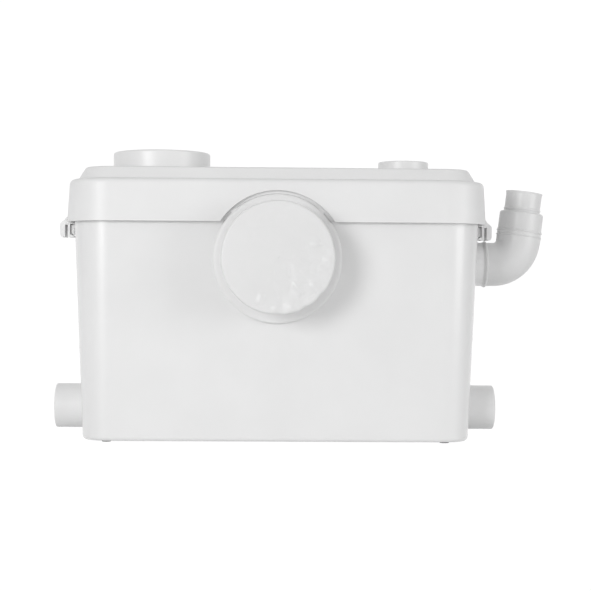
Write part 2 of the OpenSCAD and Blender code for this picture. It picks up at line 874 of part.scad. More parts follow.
module inlet_pin_left() { color("silver") on_side(-1) inlet_pin(); }
module inlet_pin_right() { color("silver") on_side(1) inlet_pin(); }

// Discharge: valve chamber inside the tank, spigot through its wall, elbow and reducer
module at_outlet() { placed() translate([0, outlet_y, outlet_z]) children(); }

module outlet_body() {
    inner_r = chamber_r - chamber_wall;
    color_white() at_outlet()
        difference() {
            rotate([0, 90, 0])
                rotate_extrude()
                    polygon([[nozzle_bore_r, valve_seat_x - valve_seat_t - valve_nipple_l],
                             [nozzle_r, valve_seat_x - valve_seat_t - valve_nipple_l],
                             [nozzle_r, valve_seat_x - valve_seat_t],
                             [chamber_r, valve_seat_x - valve_seat_t],
                             [chamber_r, chamber_x],
                             [outlet_flange_r, chamber_x],
                             [outlet_flange_r, chamber_x + outlet_flange_t],
                             [elbow_r, chamber_x + outlet_flange_t],
                             [elbow_r, outlet_spigot_x],
                             [nipple_r, outlet_spigot_x],
                             [nipple_r, outlet_spigot_x + nipple_l],
                             [nipple_bore_r, outlet_spigot_x + nipple_l],
                             [nipple_bore_r, outlet_spigot_x],
                             [outlet_bore_r, outlet_spigot_x - elbow_wall],
                             [outlet_bore_r, chamber_x],
                             [inner_r, chamber_x],
                             [inner_r, valve_seat_x],
                             [valve_seat_r, valve_seat_x],
                             [nozzle_bore_r, valve_seat_x - valve_seat_t]]);
            translate([outlet_hinge_x, 0, outlet_hinge_rise])
                along_front()
                    cylinder(r = outlet_pin_r + running_gap, h = outlet_pin_l + running_gap, center = true);
        }
}

module outlet_seal() {
    color("darkslategray") at_outlet()
        translate([outlet_pad_x - outlet_seal_t, 0, 0])
            along_x() tube(outlet_flange_r, elbow_r + seat_gap, outlet_seal_t);
}

module outlet_flap() {
    color("dimgray") at_outlet()
        translate([valve_seat_x + seat_gap, 0, 0])
            flap(outlet_flap_r, outlet_flap_t, outlet_hinge_rise, outlet_pin_r,
                 outlet_barrel_wall, outlet_ear_w);
}

module outlet_pin() {
    color("silver") at_outlet()
        translate([outlet_hinge_x, 0, outlet_hinge_rise])
            along_front() cylinder(r = outlet_pin_r, h = outlet_pin_l, center = true);
}

// Moves children to the end of the elbow's bend, with Z along its upright end
module at_upright() {
    at_outlet()
        translate([elbow_bend_x, 0, elbow_bend_r])
            rotate([0, -elbow_turn, 0])
                translate([0, 0, -elbow_bend_r])
                    rotate([0, 90, 0]) children();
}

module elbow_bend(r) {
    at_outlet()
        translate([elbow_bend_x, 0, elbow_bend_r])
            rotate([90, 0, 0])
                rotate([0, 0, -90])
                    rotate_extrude(angle = elbow_turn)
                        translate([elbow_bend_r, 0]) circle(r = r);
}

module discharge_elbow() {
    start_x = outlet_spigot_x + seat_gap;
    color_white()
        difference() {
            union() {
                at_outlet()
                    rotate([0, 90, 0])
                        rotate_extrude()
                            polygon([[0, start_x], [elbow_r, start_x],
                                     [elbow_r + elbow_bead_h, start_x + elbow_bead_w / 4],
                                     [elbow_r + elbow_bead_h, start_x + elbow_bead_w],
                                     [elbow_r, start_x + 1.5 * elbow_bead_w],
                                     [elbow_r, elbow_bend_x], [0, elbow_bend_x]]);
                elbow_bend(elbow_r);
                at_upright() {
                    translate([0, 0, -elbow_collar_step])
                        cylinder(r = elbow_r + elbow_collar_step, h = elbow_collar_l + elbow_collar_step);
                    for (share = ridge_shares)
                        translate([0, 0, share * elbow_collar_l - ridge_w / 2])
                            rotate_extrude()
                                polygon([[elbow_spigot_r, 0], [elbow_r, 0],
                                         [elbow_r + elbow_collar_step + ridge_h, ridge_w / 3],
                                         [elbow_r + elbow_collar_step + ridge_h, ridge_w * 2 / 3],
                                         [elbow_r, ridge_w], [elbow_spigot_r, ridge_w]]);
                    cylinder(r = elbow_spigot_r, h = elbow_collar_l + elbow_spigot_l);
                }
            }
            at_outlet()
                translate([start_x - overrun, 0, 0])
                    along_x() cylinder(r = elbow_r - elbow_wall, h = elbow_socket_l + overrun);
            elbow_bend(outlet_bore_r);
            at_upright()
                translate([0, 0, -2 * elbow_collar_step])
                    cylinder(r = elbow_spigot_bore_r, h = elbow_collar_l + elbow_spigot_l + overrun);
        }
}

module reducer_sleeve() {
    color_white() at_upright()
        translate([0, 0, elbow_collar_l])
            rotate_extrude()
                polygon([[elbow_spigot_r + 2 * running_gap, 0],
                         [elbow_r, 0],
                         [elbow_r, reducer_large_l - reducer_chamfer],
                         [elbow_r - reducer_chamfer, reducer_large_l],
                         [reducer_small_r, reducer_large_l],
                         [reducer_small_r, reducer_large_l + reducer_chamfer],
                         [reducer_small_r + reducer_rib_h, reducer_large_l + 1.5 * reducer_chamfer],
                         [reducer_small_r + reducer_rib_h,
                          reducer_large_l + 1.5 * reducer_chamfer + reducer_rib_w],
                         [reducer_small_r, reducer_large_l + 2 * reducer_chamfer + reducer_rib_w],
                         [reducer_small_r, reducer_large_l + reducer_small_l - 2 * reducer_rib_w],
                         [reducer_small_r + reducer_rib_h,
                          reducer_large_l + reducer_small_l - reducer_rib_h],
                         [reducer_small_r + reducer_rib_h, reducer_large_l + reducer_small_l],
                         [reducer_bore_r, reducer_large_l + reducer_small_l],
                         [reducer_bore_r, elbow_spigot_l + seat_gap],
                         [elbow_spigot_r + 2 * running_gap, elbow_spigot_l + seat_gap]]);
}

// Latches: a leg with a hook hangs from a barrel, with the grip outside it
module latch_body() {
    leg = latch_leg_t / 2;
    grip_in = leg + latch_slot;
    grip_out = grip_in + latch_grip_t;
    difference() {
        union() {
            linear_extrude(height = latch_l, center = true)
                polygon([[-leg - latch_hook, -latch_h], [leg, -latch_h],
                         [leg, -latch_barrel_r - latch_slot / 2],
                         [grip_in, -latch_barrel_r - latch_slot / 2],
                         [grip_in, -latch_h], [grip_out - latch_leg_t / 2, -latch_h],
                         [grip_out, -latch_h + latch_leg_t],
                         [grip_out, -latch_barrel_r], [grip_in, latch_leg_t / 2],
                         [0, latch_barrel_r * 0.95], [-leg, 0], [-leg, -latch_h + latch_hook_h],
                         [-leg - latch_hook / 2, -latch_h + latch_hook_h],
                         [-leg - latch_hook, -latch_h + latch_hook_h / 2]]);
            cylinder(r = latch_barrel_r, h = latch_l, center = true);
        }
        cylinder(r = latch_pin_r + running_gap, h = latch_l + 2 * overrun, center = true);
    }
}

module at_latch(side) {
    placed() mirror([side < 0 ? 1 : 0, 0, 0])
        translate([latch_x, 0, latch_z]) rotate([90, 0, 0]) children();
}

module latch_left() { color_white() at_latch(-1) latch_body(); }
module latch_right() { color_white() at_latch(1) latch_body(); }

module latch_pin() {
    cylinder(r = latch_pin_r, h = latch_l + 2 * (seat_gap + latch_ear_t), center = true);
}

module latch_pin_left() { color("silver") at_latch(-1) latch_pin(); }
module latch_pin_right() { color("silver") at_latch(1) latch_pin(); }

// Cable gland at the back of the lid
module cable_gland() {
    nut_r = gland_r / cos(30);
    thread_l = gland_pad_y - gland_nut_y + 1.5 * gland_nut_t;
    color("gray") placed()
        translate([gland_x, gland_pad_y, gland_z])
            rotate([-90, 0, 0])
                difference() {
                    union() {
                        cylinder(r = nut_r, h = gland_body_l / 2, $fn = 6);
                        cylinder(r = gland_r, h = gland_body_l);
                        translate([0, 0, gland_body_l])
                            cylinder(r1 = gland_r, r2 = gland_bore_r + lid_wall, h = gland_dome_l);
                        translate([0, 0, -thread_l]) cylinder(r = gland_thread_r, h = thread_l);
                        translate([0, 0, gland_nut_y - gland_nut_t - gland_pad_y])
                            cylinder(r = nut_r, h = gland_nut_t, $fn = 6);
                    }
                    translate([0, 0, -thread_l - overrun])
                        cylinder(r = gland_bore_r,
                                 h = thread_l + gland_body_l + gland_dome_l + 2 * overrun);
                }
}

// Deck: carries the motor, the switch and the wiring, and closes the wet part of the tank
deck_reach = tank_reach(deck_z) - tank_wall - deck_gap;

module at_motor() { translate([-motor_x, 0, 0]) children(); }

module round_motor(count, r, start = 0) {
    for (turn = [1 : count])
        rotate([0, 0, start + turn * 360 / count]) translate([r, 0, 0]) children();
}

module at_studs() {
    for (turn = stud_angles)
        rotate([0, 0, turn]) translate([stud_circle_r, 0, 0]) children();
}

module deck() {
    color("gainsboro") placed()
        difference() {
            union() {
                corner_block([[deck_reach, deck_z], [deck_reach, deck_z + deck_t]]);
                corner_ring(deck_reach, deck_reach - deck_rim_t, deck_z, deck_z + deck_t + deck_rim_h);
                at_motor()
                    translate([0, 0, deck_z - seal_lip])
                        cylinder(r = seal_r + seal_lip, h = seal_lip + deck_t);
                translate([capacitor_x, capacitor_y, deck_z])
                    cylinder(r = capacitor_r + seat_gap + capacitor_clip_t, h = deck_t + capacitor_clip_h);
            }
            at_motor() {
                translate([0, 0, bell_z - seal_h])
                    cylinder(r = seal_r + running_gap, h = seal_h + overrun);
                translate([0, 0, deck_z - seal_lip - overrun])
                    cylinder(r = seal_r - seal_lip, h = seal_h);
                round_motor(motor_screws_n, motor_screw_share * motor_r, 45)
                    translate([0, 0, deck_z - overrun])
                        cylinder(r = motor_screw_r + stud_gap, h = deck_t + 2 * overrun);
                at_studs()
                    translate([0, 0, deck_z - overrun])
                        cylinder(r = stud_r + stud_gap, h = deck_t + 2 * overrun);
            }
            translate([-chute_right_x - chute_gap, chute_front_y - chute_gap, deck_z - overrun])
                cube([2 * (chute_right_x + chute_gap), chute_w + 2 * chute_gap, deck_t + 2 * overrun]);
            translate([riser_x, outlet_y, deck_z - overrun])
                cylinder(r = hose_r + chute_gap, h = deck_t + 2 * overrun);
            translate([bell_tube_x, bell_tube_y, deck_z - overrun])
                cylinder(r = bell_tube_r + seat_gap, h = deck_t + 2 * overrun);
            translate([capacitor_x, capacitor_y, bell_z])
                cylinder(r = capacitor_r + seat_gap, h = capacitor_clip_h + overrun);
            on_pillars()
                translate([0, 0, deck_z - overrun])
                    cylinder(r = deck_screw_r + stud_gap, h = deck_t + 2 * overrun);
        }
}

module deck_screws() {
    color("silver") placed()
        on_pillars() {
            translate([0, 0, bell_z - deck_screw_l])
                cylinder(r = deck_screw_r, h = deck_screw_l + deck_screw_head_h / 2);
            translate([0, 0, bell_z])
                difference() {
                    cylinder(r = deck_screw_head_r, h = deck_screw_head_h);
                    for (turn = [0, 90])
                        rotate([0, 0, turn])
                            translate([0, 0, deck_screw_head_h])
                                cube([deck_screw_head_r, driver_slot_w, deck_screw_head_h], center = true);
                }
        }
}

// Chute: a hopper under the WC inlet, and a sloping channel from it to the basket
function chute_plan(t, front) = [
    [chute_right_x - t, front + t], [chute_right_x - t, chute_back_y - t],
    [-chute_right_x + t, chute_back_y - t],
    [-motor_x + (basket_r + chute_gap) * cos(chute_mouth_to) - t, (basket_r - t) * sin(chute_mouth_to)],
    [-motor_x - (t > 0 ? overrun : 0), 0],
    [-motor_x - (t > 0 ? overrun : 0), -basket_r - chute_gap + t],
    [-chute_right_x + t, front + t]];

function chute_side(t, top) =
    let (low_z = chute_low_z + t, high_z = chute_low_z + chute_floor_shares[0] * (deck_z - chute_low_z) + t)
    [[-motor_x - basket_r, low_z], [-motor_x + basket_r, low_z], [chute_right_x, high_z],
     [chute_right_x, top], [-chute_right_x + t, top], [-chute_right_x + t, deck_z - t],
     [-motor_x - basket_r, deck_z - t]];

module chute_block(t, top) {
    intersection() {
        translate([0, 0, chute_low_z - overrun])
            linear_extrude(height = chute_high_z - chute_low_z + 2 * overrun)
                polygon(chute_plan(t, chute_front_y));
        rotate([90, 0, 0])
            linear_extrude(height = tank_d, center = true)
                polygon(chute_side(t, top));
    }
}

module waste_chute() {
    color("gainsboro") placed()
        difference() {
            chute_block(0, chute_high_z);
            chute_block(chute_wall, chute_high_z + overrun);
            at_motor() cylinder(r = basket_r + chute_gap, h = deck_z + overrun);
        }
}

// Cutter basket: slots all round, a mouth for the chute, small holes over the pump's eye
module cutter_basket() {
    slot_z = basket_z + basket_floor + basket_slot_w;
    color("silver") placed() at_motor()
        difference() {
            translate([0, 0, basket_z]) cylinder(r = basket_r, h = basket_top_z - basket_z);
            translate([0, 0, basket_z + basket_floor])
                cylinder(r = basket_r - basket_wall, h = basket_top_z - basket_z);
            translate([0, 0, basket_z - overrun])
                cylinder(r = shaft_thin_r + basket_wall / 2, h = basket_floor + 2 * overrun);
            round_motor(basket_holes, (eye_r + shaft_thin_r) / 2)
                translate([0, 0, basket_z - overrun])
                    cylinder(r = basket_hole_r, h = basket_floor + 2 * overrun);
            for (turn = [1 : basket_slots])
                rotate([0, 0, chute_mouth_from + (turn - 0.5) * 360 / basket_slots])
                    translate([basket_r - 2 * basket_wall, -basket_slot_w / 2, slot_z])
                        cube([4 * basket_wall, basket_slot_w, basket_top_z - slot_z - basket_slot_w]);
            translate([0, 0, chute_low_z + chute_wall])
                rotate([0, 0, chute_mouth_from + mouth_margin])
                    rotate_extrude(angle = chute_mouth_to - chute_mouth_from - 2 * mouth_margin)
                        translate([basket_r - 2 * basket_wall, 0])
                            square([4 * basket_wall, deck_z - chute_wall - basket_wall - chute_low_z - chute_wall]);
        }
}

// Pump: the volute stands on the floor of the tank
module volute() {
    color("dimgray") placed()
        difference() {
            union() {
                at_motor() {
                    translate([0, 0, floor_z]) cylinder(r = volute_r, h = volute_top_z - floor_z);
                    translate([0, 0, floor_z]) stud_arms(volute_top_z - floor_z);
                }
                translate([-motor_x, outlet_y, nozzle_z])
                    along_x() cylinder(r = nozzle_r, h = nozzle_end_x + motor_x);
            }
            at_motor() {
                translate([0, 0, floor_z + volute_floor])
                    cylinder(r = volute_cavity_r, h = volute_cavity_h + overrun);
                translate([0, 0, floor_z])
                    at_studs() cylinder(r = stud_r + stud_gap, h = volute_top_z);
            }
            translate([-motor_x, outlet_y, nozzle_z])
                along_x() cylinder(r = nozzle_bore_r, h = nozzle_end_x + motor_x + overrun);
        }
}

module stud_arms(h) {
    for (turn = stud_angles)
        rotate([0, 0, turn]) {
            translate([stud_circle_r, 0, 0]) cylinder(r = stud_ear_r, h = h);
            translate([volute_cavity_r, -stud_ear_r, 0])
                cube([stud_circle_r - volute_cavity_r, 2 * stud_ear_r, h]);
        }
}

module suction_plate() {
    color("gray") placed() at_motor()
        translate([0, 0, volute_top_z])
            difference() {
                union() {
                    cylinder(r = volute_r, h = suction_t);
                    intersection() {
                        stud_arms(suction_t);
                        cylinder(r = stud_circle_r + stud_ear_r, h = suction_t);
                    }
                }
                translate([0, 0, -overrun]) cylinder(r = eye_r, h = suction_t + 2 * overrun);
                translate([0, 0, -overrun])
                    at_studs() cylinder(r = stud_r + stud_gap, h = suction_t + 2 * overrun);
            }
}

module pump_studs() {
    color("silver") placed() at_motor()
        at_studs() {
            translate([0, 0, floor_z + stud_r]) cylinder(r = stud_r, h = bell_z + stud_nut_h - floor_z);
            translate([0, 0, bell_z]) cylinder(r = stud_nut_r, h = stud_nut_h, $fn = 6);
            translate([0, 0, volute_top_z + suction_t])
                cylinder(r = stud_nut_r, h = stud_nut_h, $fn = 6);
        }
}

// Riser: a hose from the pump's nozzle, along the floor and up to the valve chamber
module hose_straights(r, free) {
    low_x = riser_x - hose_bend_r;
    high_x = riser_x + hose_bend_r;
    end_x = valve_seat_x - valve_seat_t - seat_gap;
    translate([hose_start_x - free, 0, nozzle_z])
        along_x() cylinder(r = r, h = low_x + hose_cuff - hose_start_x + free);
    translate([riser_x, 0, nozzle_z + hose_bend_r - hose_cuff])
        cylinder(r = r, h = outlet_z - nozzle_z - 2 * (hose_bend_r - hose_cuff));
    translate([high_x - hose_cuff, 0, outlet_z])
        along_x() cylinder(r = r, h = end_x - high_x + hose_cuff + free);
}

module hose_bends(r) {
    for (bend = [[riser_x - hose_bend_r, nozzle_z + hose_bend_r, -90],
                 [riser_x + hose_bend_r, outlet_z - hose_bend_r, 90]])
        translate([bend[0], 0, bend[1]])
            rotate([90, 0, 0]) rotate([0, 0, bend[2]])
                rotate_extrude(angle = 90) translate([hose_bend_r, 0]) circle(r = r);
}

module riser_pipe() {
    bore_r = nozzle_r + hose_gap;
    color("darkgray") placed() translate([0, outlet_y, 0])
        difference() {
            union() {
                hose_straights(hose_r, 0);
                hose_bends(hose_r + hose_cuff);
            }
            hose_straights(bore_r, overrun);
            hose_bends(bore_r - hose_cuff);
        }
}

module riser_clamps() {
    color("silver") placed()
        for (place = [[(hose_start_x + nozzle_end_x) / 2, nozzle_z],
                      [valve_seat_x - valve_seat_t - valve_nipple_l / 2, outlet_z]])
            translate([place[0] - clamp_w / 2, outlet_y, place[1]]) {
                along_x() tube(hose_r + seat_gap / 3 + clamp_t, hose_r + seat_gap / 3, clamp_w);
                translate([0, -clamp_w / 2, hose_r + seat_gap / 3 + clamp_t / 2])
                    cube([clamp_w, clamp_w, clamp_w / 2]);
            }
}

// Motor
module motor_can() {
    color("slategray") placed() at_motor()
        translate([0, 0, can_z]) tube(motor_r, motor_r - can_wall, can_l);
}

// A revolved end bell with bearing seat, spigot and windows; its outer face lies at z = 0
module end_bell(windows) {
    difference() {
        rotate_extrude()
            polygon([[shaft_r + seat_gap * 2, 0], [motor_r, 0], [motor_r, bell_h],
                     [motor_r - can_wall - seat_gap, bell_h],
                     [motor_r - can_wall - seat_gap, bell_h + bearing_land * 2],
                     [motor_r - 4 * can_wall, bell_h + bearing_land * 2],
                     [motor_r - 4 * can_wall, bell_flange_t], [bell_hub_r, bell_flange_t],
                     [bell_hub_r, bell_h], [bearing_r + running_gap, bell_h],
                     [bearing_r + running_gap, bell_h - bearing_h - bearing_land],
                     [shaft_r + seat_gap * 2, bell_h - bearing_h - bearing_land]]);
        round_motor(motor_screws_n, motor_screw_share * motor_r, 45)
            translate([0, 0, -overrun])
                cylinder(r = motor_screw_r + stud_gap, h = bell_h + 4 * overrun);
        if (windows)
            round_motor(bell_windows, (motor_r + bell_hub_r) / 2)
                translate([0, 0, -overrun])
                    cylinder(r = bell_window_r, h = bell_flange_t + 2 * overrun);
    }
}

module lower_end_bell() {
    color("silver") placed() at_motor() translate([0, 0, bell_z]) end_bell(false);
}

module upper_end_bell() {
    color("silver") placed() at_motor()
        translate([0, 0, upper_bell_z + bell_h]) mirror([0, 0, 1]) end_bell(true);
}

module motor_screws() {
    top_z = upper_bell_z + bell_h;
    color("silver") placed() at_motor()
        round_motor(motor_screws_n, motor_screw_share * motor_r, 45) {
            translate([0, 0, deck_z]) cylinder(r = motor_screw_r, h = top_z - deck_z);
            translate([0, 0, top_z]) cylinder(r = motor_screw_head_r, h = motor_screw_head_h, $fn = 6);
        }
}

module bearing(z) {
    color("silver") placed() at_motor()
        translate([0, 0, z])
            rotate_extrude()
                polygon([[shaft_r + running_gap, 0], [bearing_r, 0], [bearing_r, bearing_h],
                         [bearing_r - bearing_ring, bearing_h],
                         [bearing_r - bearing_ring, bearing_h - bearing_groove],
                         [shaft_r + bearing_ring, bearing_h - bearing_groove],
                         [shaft_r + bearing_ring, bearing_h], [shaft_r + running_gap, bearing_h]]);
}

module lower_bearing() { bearing(bell_z + bell_h - bearing_h); }
module upper_bearing() { bearing(upper_bell_z); }

module stator_slot_ring(gap, h) {
    for (turn = [1 : stator_slots])
        rotate([0, 0, turn * 360 / stator_slots])
            translate([stator_bore_r + stator_tip + gap, -slot_w / 2 + gap, 0])
                cube([slot_depth - 2 * gap, slot_w - 2 * gap, h]);
}

module stator_core() {
    color("darkgray") placed() at_motor()
        translate([0, 0, stator_z])
            difference() {
                tube(motor_r - can_wall - seat_gap / 3, stator_bore_r, stator_l);
                translate([0, 0, -overrun]) stator_slot_ring(0, stator_l + 2 * overrun);
                round_motor(motor_screws_n, motor_screw_share * motor_r, 45)
                    translate([0, 0, -overrun])
                        cylinder(r = motor_screw_r + stud_gap, h = stator_l + 2 * overrun);
            }
}

module windings() {
    turn_h = winding_h - 2 * bearing_land;
    color("peru") placed() at_motor()
        translate([0, 0, stator_z]) {
            translate([0, 0, -bearing_land]) stator_slot_ring(slot_gap, stator_l + 2 * bearing_land);
            for (z = [-turn_h, stator_l])
                translate([0, 0, z])
                    tube(stator_bore_r + stator_tip + slot_depth + slot_gap,
                         stator_bore_r + stator_tip, turn_h);
        }
}

module rotor_core() {
    r = stator_bore_r - air_gap;
    color("gray") placed() at_motor()
        translate([0, 0, stator_z])
            rotate_extrude()
                polygon([[shaft_r + running_gap, 0], [r - end_ring_t, 0], [r - end_ring_t, -end_ring_h],
                         [r, -end_ring_h], [r, stator_l + end_ring_h],
                         [r - end_ring_t, stator_l + end_ring_h], [r - end_ring_t, stator_l],
                         [shaft_r + running_gap, stator_l]]);
}

module shaft() {
    color("silver") placed() at_motor()
        difference() {
            rotate_extrude()
                polygon([[0, shaft_foot_z], [shaft_thin_r, shaft_foot_z],
                         [shaft_thin_r, cutter_z + cutter_h], [shaft_r, cutter_z + cutter_h],
                         [shaft_r, shaft_top_z - driver_slot_h / 2],
                         [shaft_r - driver_slot_h / 2, shaft_top_z], [0, shaft_top_z]]);
            translate([0, 0, shaft_top_z])
                cube([2 * shaft_r + overrun, driver_slot_w, 2 * driver_slot_h], center = true);
        }
}

module shaft_seal() {
    color("darkslategray") placed() at_motor()
        translate([0, 0, bell_z - seal_h])
            rotate_extrude()
                polygon([[shaft_r + running_gap, seal_h * 0.4], [shaft_r + seal_lip, 0], [seal_r, 0],
                         [seal_r, seal_h - running_gap], [shaft_r + seal_lip, seal_h - running_gap],
                         [shaft_r + running_gap, seal_h * 0.6]]);
}

module fan() {
    color("whitesmoke") placed() at_motor()
        translate([0, 0, fan_z])
            difference() {
                union() {
                    cylinder(r = fan_hub_r, h = fan_h);
                    cylinder(r = fan_r, h = fan_disc_t);
                    for (turn = [1 : fan_blades])
                        rotate([0, 0, turn * 360 / fan_blades])
                            translate([fan_hub_r - fan_blade_t, -fan_blade_t / 2, fan_disc_t / 2])
                                cube([fan_r - fan_hub_r, fan_blade_t, fan_h - fan_disc_t]);
                }
                translate([0, 0, -overrun])
                    cylinder(r = shaft_r + running_gap, h = fan_h + 2 * overrun);
            }
}

module cutter() {
    color("lightsteelblue") placed() at_motor()
        translate([0, 0, cutter_z])
            difference() {
                union() {
                    cylinder(r = cutter_hub_r, h = cutter_h);
                    for (turn = [1 : cutter_blades])
                        rotate([0, 0, turn * 360 / cutter_blades])
                            translate([0, 0, cutter_h / 2])
                                rotate([cutter_twist, 0, 0])
                                    linear_extrude(height = cutter_blade_t, center = true)
                                        polygon([[shaft_r, -cutter_blade_w / 2],
                                                 [cutter_reach - cutter_blade_w / 2, -cutter_blade_w / 2],
                                                 [cutter_reach, 0],
                                                 [cutter_reach - cutter_blade_t, cutter_blade_w / 2],
                                                 [shaft_r, cutter_blade_w / 2]]);
                }
                translate([0, 0, -overrun])
                    cylinder(r = shaft_thin_r + running_gap, h = cutter_h + 2 * overrun);
            }
}

// Impeller: an open one, with vanes that curve back from the hub
module impeller() {
    color("darkgray") placed() at_motor()
        translate([0, 0, floor_z + volute_floor + impeller_lift])
            difference() {
                union() {
                    cylinder(r = impeller_r, h = impeller_plate_t);
                    cylinder(r = impeller_hub_r, h = impeller_plate_t + vane_h);
                    intersection() {
                        cylinder(r = impeller_r, h = impeller_plate_t + vane_h);
                        for (turn = [1 : impeller_vanes])
                            rotate([0, 0, turn * 360 / impeller_vanes])
                                intersection() {
                                    translate([0, vane_r, 0])
                                        tube(vane_r + vane_t / 2, vane_r - vane_t / 2,
                                             impeller_plate_t + vane_h);
                                    cube([impeller_r, impeller_r, impeller_plate_t + vane_h]);
                                }
                    }
                }
                translate([0, 0, -overrun])
                    cylinder(r = shaft_thin_r + running_gap, h = impeller_plate_t + vane_h + 2 * overrun);
            }
}

// Level switch: rising water squeezes the air in the bell, and the diaphragm lifts the plunger
module at_switch() { placed() translate([bell_tube_x, bell_tube_y, 0]) children(); }

module air_bell() {
    color("gainsboro") at_switch()
        rotate_extrude()
            polygon([[bell_tube_r - bell_tube_wall, bell_tube_foot_z],
                     [bell_tube_r, bell_tube_foot_z], [bell_tube_r, bell_z],
                     [bell_tube_flange_r, bell_z], [bell_tube_flange_r, switch_base_z],
                     [bell_tube_r - bell_tube_wall, switch_base_z]]);
}

module pressure_switch() {
    color("gray") at_switch() {
        difference() {
            translate([0, 0, switch_base_z]) cylinder(r = switch_r, h = switch_top_z - switch_base_z);
            translate([0, 0, switch_base_z + switch_floor])
                cylinder(r = switch_cavity_r, h = switch_top_z - switch_roof - switch_base_z - switch_floor);
            translate([0, 0, diaphragm_z])
                cylinder(r = switch_cavity_r + diaphragm_grip + running_gap, h = diaphragm_t);
            translate([0, 0, switch_base_z - overrun])
                cylinder(r = bell_tube_r - bell_tube_wall, h = switch_floor + 2 * overrun);
            translate([0, 0, switch_top_z - switch_roof - overrun])
                cylinder(r = plunger_r + running_gap, h = switch_roof + 2 * overrun);
        }
        for (end = [-1, 1])
            translate([end * (micro_w - micro_post_w) / 2 - micro_post_w / 2, -micro_d / 2, switch_top_z])
                cube([micro_post_w, micro_d, micro_post_h]);
    }
}

module diaphragm() {
    color("darkslategray") at_switch()
        translate([0, 0, diaphragm_z + running_gap / 2])
            cylinder(r = switch_cavity_r + diaphragm_grip, h = diaphragm_t - running_gap);
}

module switch_plunger() {
    color("whitesmoke") at_switch() {
        translate([0, 0, plunger_z]) cylinder(r = plunger_plate_r, h = plunger_plate_t);
        translate([0, 0, plunger_z]) cylinder(r = plunger_r, h = switch_top_z + plunger_top - plunger_z);
    }
}

module microswitch() {
    color("black") at_switch()
        translate([-micro_w / 2, -micro_d / 2, switch_top_z + micro_post_h]) {
            cube([micro_w, micro_d, micro_h]);
            for (share = [0.2, 0.5, 0.8])
                translate([share * micro_w - micro_tab_w, (micro_d - micro_tab_w) / 2, micro_h])
                    cube([2 * micro_tab_w, micro_tab_w, micro_tab_h]);
        }
}

// Wiring pieces on the deck
module capacitor() {
    color("lightgray") placed()
        translate([capacitor_x, capacitor_y, bell_z]) {
            rotate_extrude()
                polygon([[0, 0], [capacitor_r, 0], [capacitor_r, capacitor_h - capacitor_clip_t],
                         [capacitor_r - capacitor_clip_t, capacitor_h],
                         [capacitor_r - 2 * capacitor_clip_t, capacitor_h - capacitor_clip_t],
                         [0, capacitor_h - capacitor_clip_t]]);
            for (side = [-1, 1])
                translate([side * capacitor_tab_w - capacitor_tab_w / 2, -capacitor_clip_t / 2,
                           capacitor_h - 2 * capacitor_clip_t])
                    cube([capacitor_tab_w, capacitor_clip_t, capacitor_tab_h]);
        }
}

module terminal_block() {
    pitch = terminal_w / terminal_ways;
    color("ivory") placed()
        translate([terminal_x - terminal_w / 2, terminal_y - terminal_d / 2, bell_z])
            difference() {
                cube([terminal_w, terminal_d, terminal_h]);
                for (way = [0 : terminal_ways - 1], row = [0.28, 0.72])
                    translate([(way + 0.5) * pitch, row * terminal_d, terminal_h * 0.4])
                        cylinder(r = terminal_screw_r, h = terminal_h);
                for (way = [1 : terminal_ways - 1])
                    translate([way * pitch - driver_slot_w / 2, -overrun, terminal_h * 0.7])
                        cube([driver_slot_w, terminal_d + 2 * overrun, terminal_h]);
            }
}

tank();
lid();
lid_gasket();
rubber_feet();
wc_collar();
wc_gasket();
wc_lock_ring();
wc_dust_cap();
motor_cap();
vent_cap();
carbon_filter();
inlet_left();
inlet_right();
inlet_seal_left();
inlet_seal_right();
inlet_flap_left();
inlet_flap_right();
inlet_pin_left();
inlet_pin_right();
outlet_body();
outlet_seal();
outlet_flap();
outlet_pin();
discharge_elbow();
reducer_sleeve();
latch_left();
latch_right();
latch_pin_left();
latch_pin_right();
cable_gland();
deck();
deck_screws();
waste_chute();
cutter_basket();
volute();
suction_plate();
pump_studs();
riser_pipe();
riser_clamps();
motor_can();
lower_end_bell();
upper_end_bell();
motor_screws();
stator_core();
windings();
rotor_core();
shaft();
lower_bearing();
upper_bearing();
shaft_seal();
fan();
cutter();
impeller();
air_bell();
pressure_switch();
diaphragm();
switch_plunger();
microswitch();
capacitor();
terminal_block();
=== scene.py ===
"""Sewage lifting station: the finish of a white moulded tank, its lid, caps, spigots and latches."""
import json
import math

import bmesh
import bpy
from mathutils import Matrix, Vector, noise


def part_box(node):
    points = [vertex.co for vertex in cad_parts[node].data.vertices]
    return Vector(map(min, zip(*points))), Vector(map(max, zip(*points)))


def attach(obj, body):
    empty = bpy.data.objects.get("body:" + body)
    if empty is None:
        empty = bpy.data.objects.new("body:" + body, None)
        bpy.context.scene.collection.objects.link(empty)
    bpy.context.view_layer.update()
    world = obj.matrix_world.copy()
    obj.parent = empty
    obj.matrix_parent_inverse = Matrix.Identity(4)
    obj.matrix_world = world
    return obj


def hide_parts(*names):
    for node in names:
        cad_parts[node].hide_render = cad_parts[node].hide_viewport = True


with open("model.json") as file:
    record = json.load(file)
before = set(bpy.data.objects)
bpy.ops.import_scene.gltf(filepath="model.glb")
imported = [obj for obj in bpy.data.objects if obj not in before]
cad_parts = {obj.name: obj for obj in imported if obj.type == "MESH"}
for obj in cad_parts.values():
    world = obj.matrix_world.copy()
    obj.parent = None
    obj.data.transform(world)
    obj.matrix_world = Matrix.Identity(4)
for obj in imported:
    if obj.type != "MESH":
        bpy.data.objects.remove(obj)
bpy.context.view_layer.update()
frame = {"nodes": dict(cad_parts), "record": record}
bpy.ops.object.select_all(action="DESELECT")


